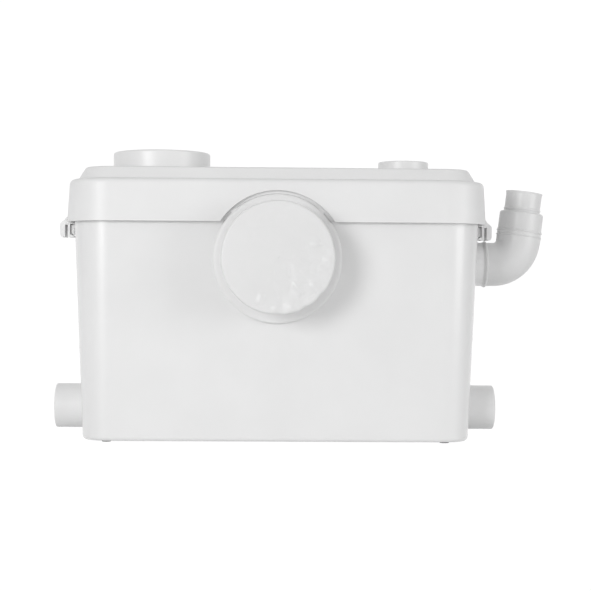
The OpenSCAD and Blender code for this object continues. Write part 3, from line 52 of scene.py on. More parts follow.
# Camera: in front of the tank, level with the middle of its front, a little to its left and
# turned a little to the right, with the long lens and the slight tilt of the photograph.
IMAGE_SIDE = 591
FOCAL_PIXELS = 1508
SENSOR_MM = 36.0
CAMERA_PLACE = (-0.0435, -1.4974, 0.1404)
CAMERA_LEVEL = math.radians(90)
CAMERA_TILT = math.radians(-0.4)
CAMERA_TURN = math.radians(-1.38)
camera_data = bpy.data.cameras.new("camera")
camera_data.sensor_fit = "HORIZONTAL"
camera_data.sensor_width = SENSOR_MM
camera_data.lens = FOCAL_PIXELS / IMAGE_SIDE * SENSOR_MM
camera = bpy.data.objects.new("camera", camera_data)
bpy.context.scene.collection.objects.link(camera)
camera.location = CAMERA_PLACE
camera.rotation_euler = (CAMERA_LEVEL, CAMERA_TILT, CAMERA_TURN)
bpy.context.scene.camera = camera
bpy.context.scene.view_settings.view_transform = "Standard"


# Floor and backdrop: white paper, which turns up behind the object. The camera sees mostly
# its glow, which is white by itself, and a small share of it as lit paper.
PAPER_GLOW = 1.12
PAPER_LIT_SHARE = 0.12
PAPER_WHITE = (0.9, 0.9, 0.9, 1)


def white_paper():
    """Paper that glows for the camera, and is plain white paper for all other light."""
    material = bpy.data.materials.new("white_paper")
    material.use_nodes = True
    nodes, links = material.node_tree.nodes, material.node_tree.links
    nodes.clear()
    seen = nodes.new("ShaderNodeLightPath")
    mirrored = nodes.new("ShaderNodeMath")
    mirrored.operation = "MAXIMUM"
    through = nodes.new("ShaderNodeMath")
    through.operation = "MAXIMUM"
    glow = nodes.new("ShaderNodeEmission")
    glow.inputs["Strength"].default_value = PAPER_GLOW
    paper = nodes.new("ShaderNodeBsdfDiffuse")
    paper.inputs["Color"].default_value = PAPER_WHITE
    lit = nodes.new("ShaderNodeMixShader")
    lit.inputs[0].default_value = PAPER_LIT_SHARE
    choose = nodes.new("ShaderNodeMixShader")
    out = nodes.new("ShaderNodeOutputMaterial")
    links.new(seen.outputs["Is Camera Ray"], mirrored.inputs[0])
    links.new(seen.outputs["Is Glossy Ray"], mirrored.inputs[1])
    links.new(mirrored.outputs[0], through.inputs[0])
    links.new(seen.outputs["Is Transmission Ray"], through.inputs[1])
    links.new(glow.outputs[0], lit.inputs[1])
    links.new(paper.outputs[0], lit.inputs[2])
    links.new(through.outputs[0], choose.inputs[0])
    links.new(paper.outputs[0], choose.inputs[1])
    links.new(lit.outputs[0], choose.inputs[2])
    links.new(choose.outputs[0], out.inputs["Surface"])
    return material


def only(piece):
    """Selects one object and makes it the active one."""
    bpy.ops.object.select_all(action="DESELECT")
    piece.select_set(True)
    bpy.context.view_layer.objects.active = piece


PAPER_SIDE, PAPER_BACK, PAPER_RISE, PAPER_DROP = 9.0, 2.6, 5, 0.0002
bpy.ops.mesh.primitive_plane_add(
    size=PAPER_SIDE, location=(0, PAPER_BACK - PAPER_SIDE / 2, -PAPER_DROP))
paper = bpy.context.object
paper.name = "white_paper_floor"
bpy.ops.object.mode_set(mode="EDIT")
bpy.ops.mesh.select_all(action="DESELECT")
sheet = bmesh.from_edit_mesh(paper.data)
for edge in sheet.edges:
    edge.select_set(all(corner.co.y > 0 for corner in edge.verts))
bmesh.update_edit_mesh(paper.data)
bpy.ops.mesh.extrude_region_move(TRANSFORM_OT_translate={"value": (0, 0, PAPER_RISE)})
bpy.ops.object.mode_set(mode="OBJECT")
bpy.ops.object.transform_apply(location=True)
paper.data.materials.append(white_paper())


# Light: a white room, a soft box on the left in front, a little above the camera, and a wider
# one on the right. The left one leaves a soft shadow to the right of each spigot.
ROOM_LIGHT = 0.5
ROOM_WHITE = (1, 1, 1, 1)
room = bpy.data.worlds.new("room")
room.use_nodes = True
room.node_tree.nodes["Background"].inputs["Color"].default_value = ROOM_WHITE
room.node_tree.nodes["Background"].inputs["Strength"].default_value = ROOM_LIGHT
bpy.context.scene.world = room
AIM = Vector((0, 0, 0.14))
for name, place, side, power in (
    ("key_box", (-1.25, -2.0, 0.55), 0.75, 19.5),
    ("fill_box", (2.2, -1.5, 0.3), 1.2, 20.0),
):
    box_data = bpy.data.lights.new(name, "AREA")
    box_data.shape = "SQUARE"
    box_data.size = side
    box_data.energy = power
    box = bpy.data.objects.new(name, box_data)
    bpy.context.scene.collection.objects.link(box)
    box.location = place
    box.rotation_euler = (AIM - Vector(place)).to_track_quat("-Z", "Y").to_euler()


# Tank: injection-moulded white polypropylene, a box with leaning walls and wide round
# corners. It has a bead round its rim, a pad for the WC collar with a shield behind the lid's
# arch, holes for the connections, a catch for each latch, and pillars that carry the deck.
TANK_HALF_W, TANK_HALF_D, TANK_TOP = 0.195, 0.0895, 0.222
CORNER_R, LEAN, WALL, FOOT_H, EDGE_R = 0.0365, 0.0095, 0.0035, 0.0015, 0.004
RIM_BEAD, RIM_BEAD_H, RIM_STEP, LID_DROP = 0.0018, 0.004, 0.0006, 0.0125
cad_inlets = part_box("inlet_left"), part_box("inlet_right")
MID_X = (cad_inlets[0][0][0] + cad_inlets[1][1][0]) / 2
MID_Y = (cad_inlets[0][0][1] + cad_inlets[0][1][1]) / 2
CORNER_X, CORNER_Y = TANK_HALF_W - CORNER_R, TANK_HALF_D - CORNER_R
WC_Z, INLET_Z = 0.175, 0.0297
OUTLET_Y, OUTLET_Z = MID_Y + 0.018, 0.1733
FINE, OVERRUN = 128, 0.01


def tank_reach(z):
    """How far the tank's outer face lies from a corner centre at height z."""
    low = FOOT_H + EDGE_R
    return CORNER_R - LEAN + LEAN * (z - low) / (TANK_TOP - low)


def arc(centre, radius, start, end, steps=6):
    """Points of an arc, from one angle in degrees to another."""
    turns = [math.radians(start + (end - start) * i / steps) for i in range(steps + 1)]
    return [(centre[0] + radius * math.cos(t), centre[1] + radius * math.sin(t)) for t in turns]


def moulding(name, profile, round_steps=14):
    """A round-cornered shell: each step of profile is (reach from the corner centres, height)."""
    reach, height = profile[0]
    bpy.ops.mesh.primitive_plane_add(size=2, location=(MID_X, MID_Y, height))
    shell = bpy.context.object
    shell.name = name
    shell.scale = (CORNER_X + reach, CORNER_Y + reach, 1)
    bpy.ops.object.transform_apply(location=True, scale=True)
    bpy.ops.object.mode_set(mode="EDIT")
    bpy.ops.mesh.select_mode(type="VERT")
    bpy.ops.mesh.select_all(action="SELECT")
    bpy.ops.mesh.bevel(offset=reach, segments=round_steps, affect="VERTICES", clamp_overlap=False)
    bpy.ops.mesh.select_all(action="SELECT")
    for next_reach, next_height in profile[1:]:
        bpy.ops.mesh.extrude_region_move(
            TRANSFORM_OT_translate={"value": (0, 0, next_height - height)})
        mesh = bmesh.from_edit_mesh(shell.data)
        for vertex in mesh.verts:
            if vertex.select:
                centre = Vector((MID_X + math.copysign(CORNER_X, vertex.co.x - MID_X),
                                 MID_Y + math.copysign(CORNER_Y, vertex.co.y - MID_Y), 0))
                flat = Vector((vertex.co.x, vertex.co.y, 0)) - centre
                vertex.co = centre + flat * (next_reach / reach) + Vector((0, 0, vertex.co.z))
        bmesh.update_edit_mesh(shell.data)
        reach, height = next_reach, next_height
    bpy.ops.mesh.select_all(action="SELECT")
    bpy.ops.mesh.normals_make_consistent(inside=False)
    bpy.ops.object.mode_set(mode="OBJECT")
    return shell


def rod(radius, start, end, steps=96):
    """A cylinder between two points, to cut with or to join."""
    way = Vector(end) - Vector(start)
    bpy.ops.mesh.primitive_cylinder_add(vertices=steps, radius=radius, depth=way.length,
                                        location=(Vector(start) + Vector(end)) / 2,
                                        rotation=way.to_track_quat("Z", "Y").to_euler())
    piece = bpy.context.object
    bpy.ops.object.transform_apply(location=True, rotation=True)
    return piece


def slab(name, outline, y_from, y_to):
    """A closed block: an outline of (x, z) points, made thick from y_from to y_to."""
    block = bmesh.new()
    front = [block.verts.new((x, y_from, z)) for x, z in outline]
    back = [block.verts.new((x, y_to, z)) for x, z in outline]
    block.faces.new(front)
    block.faces.new(back[::-1])
    for i in range(len(outline)):
        block.faces.new((front[i - 1], front[i], back[i], back[i - 1]))
    bmesh.ops.recalc_face_normals(block, faces=block.faces)
    mesh = bpy.data.meshes.new(name)
    block.to_mesh(mesh)
    block.free()
    piece = bpy.data.objects.new(name, mesh)
    bpy.context.scene.collection.objects.link(piece)
    return piece


def combine(piece, other, operation):
    """Cuts other out of piece, or joins it on, and takes other away."""
    only(piece)
    step = piece.modifiers.new("combine", "BOOLEAN")
    step.operation = operation
    step.solver = "EXACT"
    step.object = other
    bpy.ops.object.modifier_apply(modifier=step.name)
    bpy.data.objects.remove(other)


def soften(piece, width, steps=2, angle=32):
    """Rounds every sharp edge by a moulder's small radius and shades the rest smooth."""
    only(piece)
    bpy.ops.object.mode_set(mode="EDIT")
    bpy.ops.mesh.select_all(action="SELECT")
    bpy.ops.mesh.remove_doubles(threshold=0.00002)
    bpy.ops.object.mode_set(mode="OBJECT")
    if width:
        edges = piece.modifiers.new("edge", "BEVEL")
        edges.width = width
        edges.segments = steps
        edges.limit_method = "ANGLE"
        edges.angle_limit = math.radians(angle)
        edges.use_clamp_overlap = True
        bpy.ops.object.modifier_apply(modifier=edges.name)
    bpy.ops.object.shade_smooth_by_angle(angle=math.radians(angle))
    even = piece.modifiers.new("even", "WEIGHTED_NORMAL")
    even.keep_sharp = True
    bpy.ops.object.modifier_apply(modifier=even.name)


def moulded_plastic(name, colour, roughness, grain=0.00002, wave=0.0002, wave_scale=9.0, coat=0.0):
    """Moulded plastic: a faint orange peel, slow waves where it shrank, and uneven gloss."""
    material = bpy.data.materials.new(name)
    material.use_nodes = True
    nodes, links = material.node_tree.nodes, material.node_tree.links
    surface = nodes["Principled BSDF"]
    place = nodes.new("ShaderNodeTexCoord")
    clouds = nodes.new("ShaderNodeTexNoise")
    clouds.inputs["Scale"].default_value = 14
    clouds.inputs["Detail"].default_value = 4
    tint = nodes.new("ShaderNodeValToRGB")
    tint.color_ramp.elements[0].position = 0.3
    tint.color_ramp.elements[0].color = (*[c * 0.965 for c in colour], 1)
    tint.color_ramp.elements[1].position = 0.7
    tint.color_ramp.elements[1].color = (*colour, 1)
    gloss = nodes.new("ShaderNodeMapRange")
    gloss.inputs["To Min"].default_value = roughness * 0.82
    gloss.inputs["To Max"].default_value = roughness * 1.2
    peel = nodes.new("ShaderNodeTexNoise")
    peel.inputs["Scale"].default_value = 900
    waves = nodes.new("ShaderNodeTexNoise")
    waves.inputs["Scale"].default_value = wave_scale
    fine = nodes.new("ShaderNodeBump")
    fine.inputs["Distance"].default_value = grain
    fine.inputs["Strength"].default_value = 1.0
    slow = nodes.new("ShaderNodeBump")
    slow.inputs["Distance"].default_value = wave
    slow.inputs["Strength"].default_value = 1.0
    for texture in (clouds, peel, waves):
        links.new(place.outputs["Object"], texture.inputs["Vector"])
    links.new(clouds.outputs["Fac"], tint.inputs["Fac"])
    links.new(tint.outputs["Color"], surface.inputs["Base Color"])
    links.new(clouds.outputs["Fac"], gloss.inputs["Value"])
    links.new(gloss.outputs["Result"], surface.inputs["Roughness"])
    links.new(waves.outputs["Fac"], slow.inputs["Height"])
    links.new(peel.outputs["Fac"], fine.inputs["Height"])
    links.new(slow.outputs["Normal"], fine.inputs["Normal"])
    links.new(fine.outputs["Normal"], surface.inputs["Normal"])
    surface.inputs["IOR"].default_value = 1.49
    surface.inputs["Coat Weight"].default_value = coat
    surface.inputs["Coat Roughness"].default_value = 0.22
    return material


base_reach = CORNER_R - LEAN
low_z = FOOT_H + EDGE_R
outer_foot = arc((base_reach - EDGE_R, low_z), EDGE_R, -90, 0)
inner_foot = arc((base_reach - EDGE_R, low_z), EDGE_R - WALL, -90, 0)
bead_z = TANK_TOP - RIM_BEAD_H
under_bead = bead_z - RIM_STEP
tank_profile = outer_foot + [
    (tank_reach(under_bead), under_bead),
    (CORNER_R + RIM_BEAD, bead_z), (CORNER_R + RIM_BEAD, TANK_TOP),
    (CORNER_R - WALL, TANK_TOP)] + inner_foot[::-1]
tank = moulding("tank_shell", tank_profile)
WC_PAD_DEPTH, WC_PAD_R, ARCH_R, WC_HOLE_R = 0.0065, 0.061, 0.064, 0.0498
SHIELD_W, SHIELD_PROUD, SHIELD_SHORT = 0.0025, 0.0009, 0.0007
SHIELD_GAP, SHIELD_LAP = 0.0001, 0.0015
front_y = MID_Y - TANK_HALF_D
pad_back = front_y + WC_PAD_DEPTH
lid_low = TANK_TOP - LID_DROP
pad = rod(WC_PAD_R, (MID_X, front_y, WC_Z), (MID_X, pad_back, WC_Z), FINE)
combine(tank, pad, "UNION")
shield = rod(ARCH_R + SHIELD_W, (MID_X, front_y - SHIELD_PROUD, WC_Z),
             (MID_X, pad_back - SHIELD_SHORT, WC_Z), FINE)
flange_room = rod(WC_PAD_R + SHIELD_GAP, (MID_X, front_y - OVERRUN, WC_Z),
                  (MID_X, front_y, WC_Z), FINE)
combine(shield, flange_room, "DIFFERENCE")
BELOW_SIDE = 0.2
bpy.ops.mesh.primitive_cube_add(
    size=BELOW_SIDE, location=(MID_X, front_y, lid_low + SHIELD_LAP - BELOW_SIDE / 2))
combine(shield, bpy.context.object, "DIFFERENCE")
combine(tank, shield, "UNION")
wc_hole = rod(WC_HOLE_R, (MID_X, front_y - OVERRUN, WC_Z),
              (MID_X, front_y + 3 * OVERRUN, WC_Z), FINE)
combine(tank, wc_hole, "DIFFERENCE")
INLET_HOLE_R, OUTLET_HOLE_R, HOLE_FROM, HOLE_TO = 0.0221, 0.0223, 0.15, 0.22
for side in (-1, 1):
    inlet_hole = rod(INLET_HOLE_R, (MID_X + side * HOLE_FROM, MID_Y, INLET_Z),
                     (MID_X + side * HOLE_TO, MID_Y, INLET_Z))
    combine(tank, inlet_hole, "DIFFERENCE")
outlet_hole = rod(OUTLET_HOLE_R, (MID_X + HOLE_FROM, OUTLET_Y, OUTLET_Z),
                  (MID_X + HOLE_TO, OUTLET_Y, OUTLET_Z))
combine(tank, outlet_hole, "DIFFERENCE")
LID_REACH, LATCH_OUT, LATCH_UP = 0.043, 0.0039, 0.00375
CATCH_HALF, CATCH_T, CATCH_GAP, CATCH_DROP, LATCH_BACK = 0.009, 0.003, 0.0006, 0.0134, 0.0012
latch_x, latch_z = CORNER_X + LID_REACH + LATCH_OUT, lid_low + LATCH_UP
for side in (-1, 1):
    top = lid_low - CATCH_GAP
    near = CORNER_X + tank_reach(top) - WALL / 2
    face = latch_x - LATCH_BACK - CATCH_GAP
    low = latch_z - CATCH_DROP
    outline = [(near, top), (face, top), (face, low), (face - CATCH_T, low),
               (face - CATCH_T, top - CATCH_T), (near, top - CATCH_T)]
    combine(tank, slab("catch", [(MID_X + side * x, z) for x, z in outline],
                       MID_Y - CATCH_HALF, MID_Y + CATCH_HALF), "UNION")
PILLAR_R, DECK_Z, COARSE = 0.006, 0.098, 32
PILLAR_SHARES = ((-0.95, -1.05), (-0.95, 1.05), (0.95, -1.05), (0.95, 1.05), (0, 1.2), (0.38, -1.2))
for share_x, share_y in PILLAR_SHARES:
    x, y = MID_X + share_x * CORNER_X, MID_Y + share_y * CORNER_Y
    combine(tank, rod(PILLAR_R, (x, y, FOOT_H + WALL / 2), (x, y, DECK_Z), COARSE), "UNION")
SHELL_EDGE = 0.0006
soften(tank, SHELL_EDGE)
white_tank = moulded_plastic("white_tank_plastic", (0.84, 0.84, 0.84), 0.34, coat=0.55)
tank.data.materials.append(white_tank)
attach(tank, "housing")
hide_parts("tank")


# Lid: the same white plastic, with a skirt over the tank's rim, a round shoulder and a
# raised panel. Its upstands carry the two caps, its ears the latches' pins, its pad the gland.
LID_WALL, LID_H, LID_LEAN = 0.003, 0.0405, 0.0021
CROWN_H, CROWN_INSET, CROWN_SLOPE = 0.012, 0.0085, 0.007
SHOULDER_R, CROWN_R, CROWN_FILLET = 0.005, 0.004, 0.0015
shoulder_z = lid_low + LID_H
shoulder_reach = LID_REACH - LID_LEAN
crown_z = shoulder_z + CROWN_H
crown_foot = shoulder_reach - CROWN_INSET
slope = math.atan2(CROWN_SLOPE, CROWN_H)
crown_edge = crown_foot - (CROWN_R + (CROWN_H - CROWN_R) * math.sin(slope)) / math.cos(slope)


def lid_wall(depth, foot):
    """The lid's outline from its lower edge to its crown, depth metres inside the outer face."""
    corner = crown_foot - depth * (1 - math.sin(slope)) / math.cos(slope)
    level = shoulder_z - depth
    return ([(LID_REACH - depth, foot)]
            + arc((shoulder_reach - SHOULDER_R, shoulder_z - SHOULDER_R), SHOULDER_R - depth, 0, 90)
            + [(corner + CROWN_FILLET, level),
               (corner + CROWN_FILLET * 0.2, level + CROWN_FILLET * 0.25),
               (corner - CROWN_FILLET * 0.4, level + CROWN_FILLET)]
            + arc((crown_edge, crown_z - CROWN_R), CROWN_R - depth, math.degrees(slope), 90))


lid = moulding("lid_shell", lid_wall(LID_WALL, lid_low)[::-1] + lid_wall(0, lid_low))
MOTOR_LEFT, VENT_RIGHT = 0.1146, 0.1264
motor_x, vent_x = MID_X - MOTOR_LEFT, MID_X + VENT_RIGHT
MOTOR_UPSTAND_R, VENT_UPSTAND_R, UPSTAND_WALL = 0.0455, 0.0225, 0.0025
for upstand_x, upstand_r, upstand_h, hole_low in (
    (motor_x, MOTOR_UPSTAND_R, 0.0124, crown_z - 2 * OVERRUN),
    (vent_x, VENT_UPSTAND_R, 0.0078, crown_z),
):
    upstand = rod(upstand_r, (upstand_x, MID_Y, crown_z - LID_WALL),
                  (upstand_x, MID_Y, crown_z + upstand_h))
    combine(lid, upstand, "UNION")
    bore = rod(upstand_r - UPSTAND_WALL, (upstand_x, MID_Y, hole_low),
               (upstand_x, MID_Y, crown_z + 2 * OVERRUN))
    combine(lid, bore, "DIFFERENCE")
arch = rod(ARCH_R, (MID_X, front_y - 5 * OVERRUN, WC_Z), (MID_X, front_y + OVERRUN, WC_Z), FINE)
combine(lid, arch, "DIFFERENCE")
GLAND_RIGHT, GLAND_PROUD = 0.06, 0.00015
gland_x, gland_z = MID_X + GLAND_RIGHT, 0.2372
gland_y = MID_Y + CORNER_Y + LID_REACH + GLAND_PROUD
GLAND_PAD_R, GLAND_PAD_T, GLAND_HOLE_R, GLAND_STEPS = 0.010, 0.003, 0.00606, 48
gland_pad = rod(GLAND_PAD_R, (gland_x, gland_y - GLAND_PAD_T, gland_z),
                (gland_x, gland_y, gland_z), GLAND_STEPS)
combine(lid, gland_pad, "UNION")
gland_hole = rod(GLAND_HOLE_R, (gland_x, gland_y - OVERRUN, gland_z),
                 (gland_x, gland_y + OVERRUN, gland_z), GLAND_STEPS)
combine(lid, gland_hole, "DIFFERENCE")
EAR_T, EAR_R, EAR_GAP, LATCH_HALF, PIN_HOLE_R, PIN_STEPS = 0.003, 0.0036, 0.0003, 0.012, 0.00156, 24
for side in (-1, 1):
    x = MID_X + side * latch_x
    root = MID_X + side * (CORNER_X + LID_REACH - LID_WALL / 2)
    for end in (-1, 1):
        y = MID_Y + end * (LATCH_HALF + EAR_GAP + EAR_T / 2)
        ear = rod(EAR_R, (x, y - EAR_T / 2, latch_z), (x, y + EAR_T / 2, latch_z), COARSE)
        combine(lid, ear, "UNION")
        bpy.ops.mesh.primitive_cube_add(size=1, location=((x + root) / 2, y, latch_z),
                                        scale=(abs(x - root), EAR_T, 2 * EAR_R))
        web = bpy.context.object
        bpy.ops.object.transform_apply(location=True, scale=True)
        combine(lid, web, "UNION")
    pin_hole = rod(PIN_HOLE_R, (x, MID_Y - 3 * OVERRUN, latch_z),
                   (x, MID_Y + 3 * OVERRUN, latch_z), PIN_STEPS)
    combine(lid, pin_hole, "DIFFERENCE")
soften(lid, SHELL_EDGE)
white_lid = moulded_plastic("white_lid_plastic", (0.835, 0.835, 0.835), 0.46, wave=0.0003, coat=0.06)
lid.data.materials.append(white_lid)
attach(lid, "housing")
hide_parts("lid")


# WC collar: a round spigot on a thin flange whose edge falls away softly. The ring behind the
# wall draws it tight against the pad. Its plastic is coloured darker than the tank's as painted shade,
# for the shade the lid's arch casts on the recessed flange.
def turned(name, profile, axis_start, axis_way, steps=96):
    """A closed ring: each step of profile is (radius, distance along the axis)."""
    radius, height = profile[0]
    bpy.ops.mesh.primitive_circle_add(vertices=steps, radius=radius, fill_type="NOTHING",
                                      location=(0, 0, height))
    piece = bpy.context.object
    piece.name = name
    bpy.ops.object.transform_apply(location=True)
    bpy.ops.object.mode_set(mode="EDIT")
    bpy.ops.mesh.select_mode(type="EDGE")
    bpy.ops.mesh.select_all(action="SELECT")
    for next_radius, next_height in profile[1:] + profile[:1]:
        bpy.ops.mesh.extrude_region_move(
            TRANSFORM_OT_translate={"value": (0, 0, next_height - height)})
        grow = next_radius / radius
        bpy.ops.transform.resize(value=(grow, grow, 1), center_override=(0, 0, next_height))
        radius, height = next_radius, next_height
    bpy.ops.mesh.select_all(action="SELECT")
    bpy.ops.mesh.remove_doubles(threshold=0.00002)
    bpy.ops.mesh.normals_make_consistent(inside=False)
    bpy.ops.object.mode_set(mode="OBJECT")
    lie = Vector(axis_way).to_track_quat("Z", "Y").to_matrix().to_4x4()
    piece.data.transform(Matrix.Translation(axis_start) @ lie)
    return piece


FLANGE_T, GASKET_T, SPIGOT_R, SPIGOT_BORE, SPIGOT_L = 0.002, 0.0008, 0.0504, 0.046, 0.042
TAIL_BORE, TAIL_R, TAIL_L, ROOT_R, BORE_STEP = 0.0435, 0.0495, 0.0155, 0.003, 0.006
collar_face = front_y - GASKET_T - FLANGE_T
flange_edge = [(WC_PAD_R - 0.0002, -FLANGE_T), (WC_PAD_R, -FLANGE_T + 0.0003),
               (WC_PAD_R - 0.0004, -0.0011), (WC_PAD_R - 0.0012, -0.0006),
               (WC_PAD_R - 0.0025, -0.0002), (WC_PAD_R - 0.0042, 0)]
collar_profile = ([(TAIL_BORE, -FLANGE_T - TAIL_L), (TAIL_R, -FLANGE_T - TAIL_L), (TAIL_R, -FLANGE_T)]
                  + flange_edge
                  + arc((SPIGOT_R + ROOT_R, ROOT_R), ROOT_R, 270, 180, 5)
                  + [(SPIGOT_R, SPIGOT_L), (SPIGOT_BORE, SPIGOT_L),
                     (SPIGOT_BORE, BORE_STEP), (TAIL_BORE, BORE_STEP)])
collar = turned("wc_spigot", collar_profile, (MID_X, collar_face, WC_Z), (0, -1, 0), FINE)
COLLAR_EDGE = 0.0004
soften(collar, COLLAR_EDGE)
white_fitting = moulded_plastic("white_fitting_plastic", (0.89, 0.89, 0.89), 0.36, wave_scale=20)
# Painted shade: the collar's colour is darker than the other white fittings, to stand for the shade
# that falls on its flange inside the lid's arch.
collar_finish_painted_shade = moulded_plastic("collar_plastic_with_painted_shade", (0.82, 0.82, 0.82), 0.42, wave_scale=20)
collar.data.materials.append(collar_finish_painted_shade)
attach(collar, "housing")
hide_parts("wc_collar")


def close_poles(piece, reach=0.0001):
    """Draws each tiny ring round the axis together into one point."""
    only(piece)
    bpy.ops.object.mode_set(mode="EDIT")
    bpy.ops.mesh.select_all(action="SELECT")
    bpy.ops.mesh.remove_doubles(threshold=reach)
    bpy.ops.mesh.select_all(action="SELECT")
    bpy.ops.mesh.delete_loose(use_verts=True, use_edges=True, use_faces=False)
    bpy.ops.object.mode_set(mode="OBJECT")


# Dust cap: a thin white film cap over the spigot. It is stretched on by hand, so its face has
# fine creases and pleats, most of all low on the right, and short folds that run inwards.
FILM_SLACK, FILM_T, FILM_EDGE_R = 0.0003, 0.0008, 0.0024
CAP_R = SPIGOT_R + FILM_SLACK + FILM_T
mouth_y = collar_face - SPIGOT_L
FILM_RINGS, FILM_STEPS, INNER_STRIDE = 60, 240, 6
POLE_R = 0.00003
SKIRT_L, HEM_OUT, FACE_OUT, FACE_IN = 0.020, 0.0007, 0.0011, 0.0004
face_r = CAP_R - FILM_EDGE_R
film_profile = ([(CAP_R - FILM_T, -SKIRT_L), (CAP_R + HEM_OUT, -SKIRT_L), (CAP_R + HEM_OUT, -0.0186),
                 (CAP_R, -0.0179), (CAP_R, -0.013), (CAP_R + 0.0004, -0.008), (CAP_R + 0.0009, -0.004)]
                + arc((CAP_R - 0.0014, FACE_OUT - FILM_EDGE_R), FILM_EDGE_R, 0, 90, 5)
                + [(face_r * (1 - i / FILM_RINGS), FACE_OUT) for i in range(1, FILM_RINGS)]
                + [(POLE_R, FACE_OUT), (POLE_R, FACE_IN)]
                + [(face_r * i / FILM_RINGS, FACE_IN) for i in range(1, FILM_RINGS, INNER_STRIDE)]
                + [(CAP_R - FILM_T, FACE_IN)])
film = turned("wc_film_cap", film_profile, (MID_X, mouth_y, WC_Z), (0, -1, 0), FILM_STEPS)
close_poles(film)
CREASE_DEPTH, CREASE_SCALE, CREASE_SHARP, SLOW_SCALE = 0.0011, 62, 3.2, 25
PLEAT_DEPTH, PLEAT_TURNS, PLEAT_SHARP = 0.0016, 3.1, 2.6
LOW_RIGHT_TURN = math.radians(42)
TUCK_FROM, TUCK_SHARE, FACE_BAND = 0.9, 0.028, 0.0005
FOLD_DEPTH, FOLD_HALF = 0.0013, 0.0033
# Each fold: its turn in degrees from the right, and the shares of the radius it runs between.
FOLDS = ((19, 0.6, 0.82), (-3, 0.78, 1.0), (-15, 0.72, 0.98), (-39, 0.7, 0.97), (-57, 0.5, 0.82),
         (-74, 0.82, 1.0), (-92, 0.84, 1.0), (-112, 0.68, 0.92))
for vertex in film.data.vertices:
    across = vertex.co.x - MID_X
    up = vertex.co.z - WC_Z
    out = math.hypot(across, up) / CAP_R
    turn = math.atan2(up, across)
    low_right = max(0.0, math.cos(turn + LOW_RIGHT_TURN)) ** 1.5
    pull = noise.noise(Vector((turn * PLEAT_TURNS, 5.4, out * 1.7)))
    pleat = 1 - min(1.0, abs(pull) * PLEAT_SHARP)
    if vertex.co.y < mouth_y + FACE_BAND:
        spot = Vector((across * CREASE_SCALE + 3.1, up * CREASE_SCALE - 1.7, 0.4))
        near, far = noise.voronoi(spot)[0][:2]
        crease = math.exp(-((far - near) * CREASE_SHARP) ** 2)
        slow = noise.noise(Vector((across * SLOW_SCALE, up * SLOW_SCALE, 2.0)))
        rim = min(1.0, max(0.0, 1 - out) * 5)
        spread = max(0.0, out - 0.35) / 0.65
        vertex.co.y += CREASE_DEPTH * rim * (0.2 + 0.6 * low_right) * (crease * 0.8 + 0.5 * slow + 0.2)
        vertex.co.y += PLEAT_DEPTH * low_right * spread * min(1.0, rim + 0.45) * pleat
        for fold_turn, fold_in, fold_out in FOLDS:
            aside = math.hypot(across, up) * math.sin(turn - math.radians(fold_turn))
            along = (out - (fold_in + fold_out) / 2) / (fold_out - fold_in) * 2
            if abs(along) < 1 and math.cos(turn - math.radians(fold_turn)) > 0:
                vertex.co.y -= FOLD_DEPTH * (1 - along ** 2) * math.exp(-(aside / FOLD_HALF) ** 2)
    if out > TUCK_FROM:
        tuck = 1 - TUCK_SHARE * low_right * pleat
        vertex.co.x = MID_X + across * tuck
        vertex.co.z = WC_Z + up * tuck
soften(film, 0, angle=60)
white_film = moulded_plastic("white_film", (0.8, 0.8, 0.8), 0.4, grain=0.00003, wave=0.0005,
                             wave_scale=60)
film.data.materials.append(white_film)
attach(film, "wc_cap")
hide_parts("wc_dust_cap")


# Motor access cap and vent cap: white cups that push over the upstands of the lid. The large
# one flares at its lower edge, and both have a softly rounded top.
def cap_profile(radius, height, edge, flare, wall=0.0022, lift=0.0003):
    """From the inside up, over the roof and down: a cup whose roof closes at the axis."""
    return ([(POLE_R, height - wall), (radius - wall, height - wall), (radius - wall, lift),
             (radius + flare, lift), (radius + flare * 0.35, lift + flare * 0.9),
             (radius, lift + 0.0025)]
            + arc((radius - edge, height - edge), edge, 0, 90, 5)
            + [(radius * 0.6, height), (POLE_R, height)])


FITTING_EDGE = 0.0003
white_cap = moulded_plastic("white_cap_plastic", (0.84, 0.84, 0.84), 0.34, wave_scale=25)
for name, node, body, x, radius, height, edge, flare in (
    ("access_cap_cup", "motor_cap", "access_cap", motor_x, 0.048, 0.019, 0.0022, 0.0014),
    ("vent_cap_cup", "vent_cap", "breather_cap", vent_x, 0.025, 0.0122, 0.0014, 0.0),
):
    cup = turned(name, cap_profile(radius, height, edge, flare), (x, MID_Y, crown_z), (0, 0, 1), FINE)
    close_poles(cup)
    soften(cup, FITTING_EDGE)
    cup.data.materials.append(white_cap)
    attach(cup, body)
    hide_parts(node)


# Fittings: copies of what the frame already holds in its true shape, merged, with their edges
# rounded as a mould leaves them. The elbow also gets a low bead over its seam with the spigot.
def moulded_copy(node, name, width, angle=28):
    """A copy of a node's mesh as one skin, flat faces whole, with its edges softened."""
    source = frame["nodes"][node]
    piece = bpy.data.objects.new(name, source.data.copy())
    bpy.context.scene.collection.objects.link(piece)
    piece.data.materials.clear()
    only(piece)
    bpy.ops.object.mode_set(mode="EDIT")
    bpy.ops.mesh.select_all(action="SELECT")
    bpy.ops.mesh.remove_doubles(threshold=0.00001)
    bpy.ops.mesh.dissolve_limited(angle_limit=math.radians(0.3))
    bpy.ops.object.mode_set(mode="OBJECT")
    if piece.data.has_custom_normals:
        bpy.ops.mesh.customdata_custom_splitnormals_clear()
    soften(piece, width, angle=angle)
    return piece


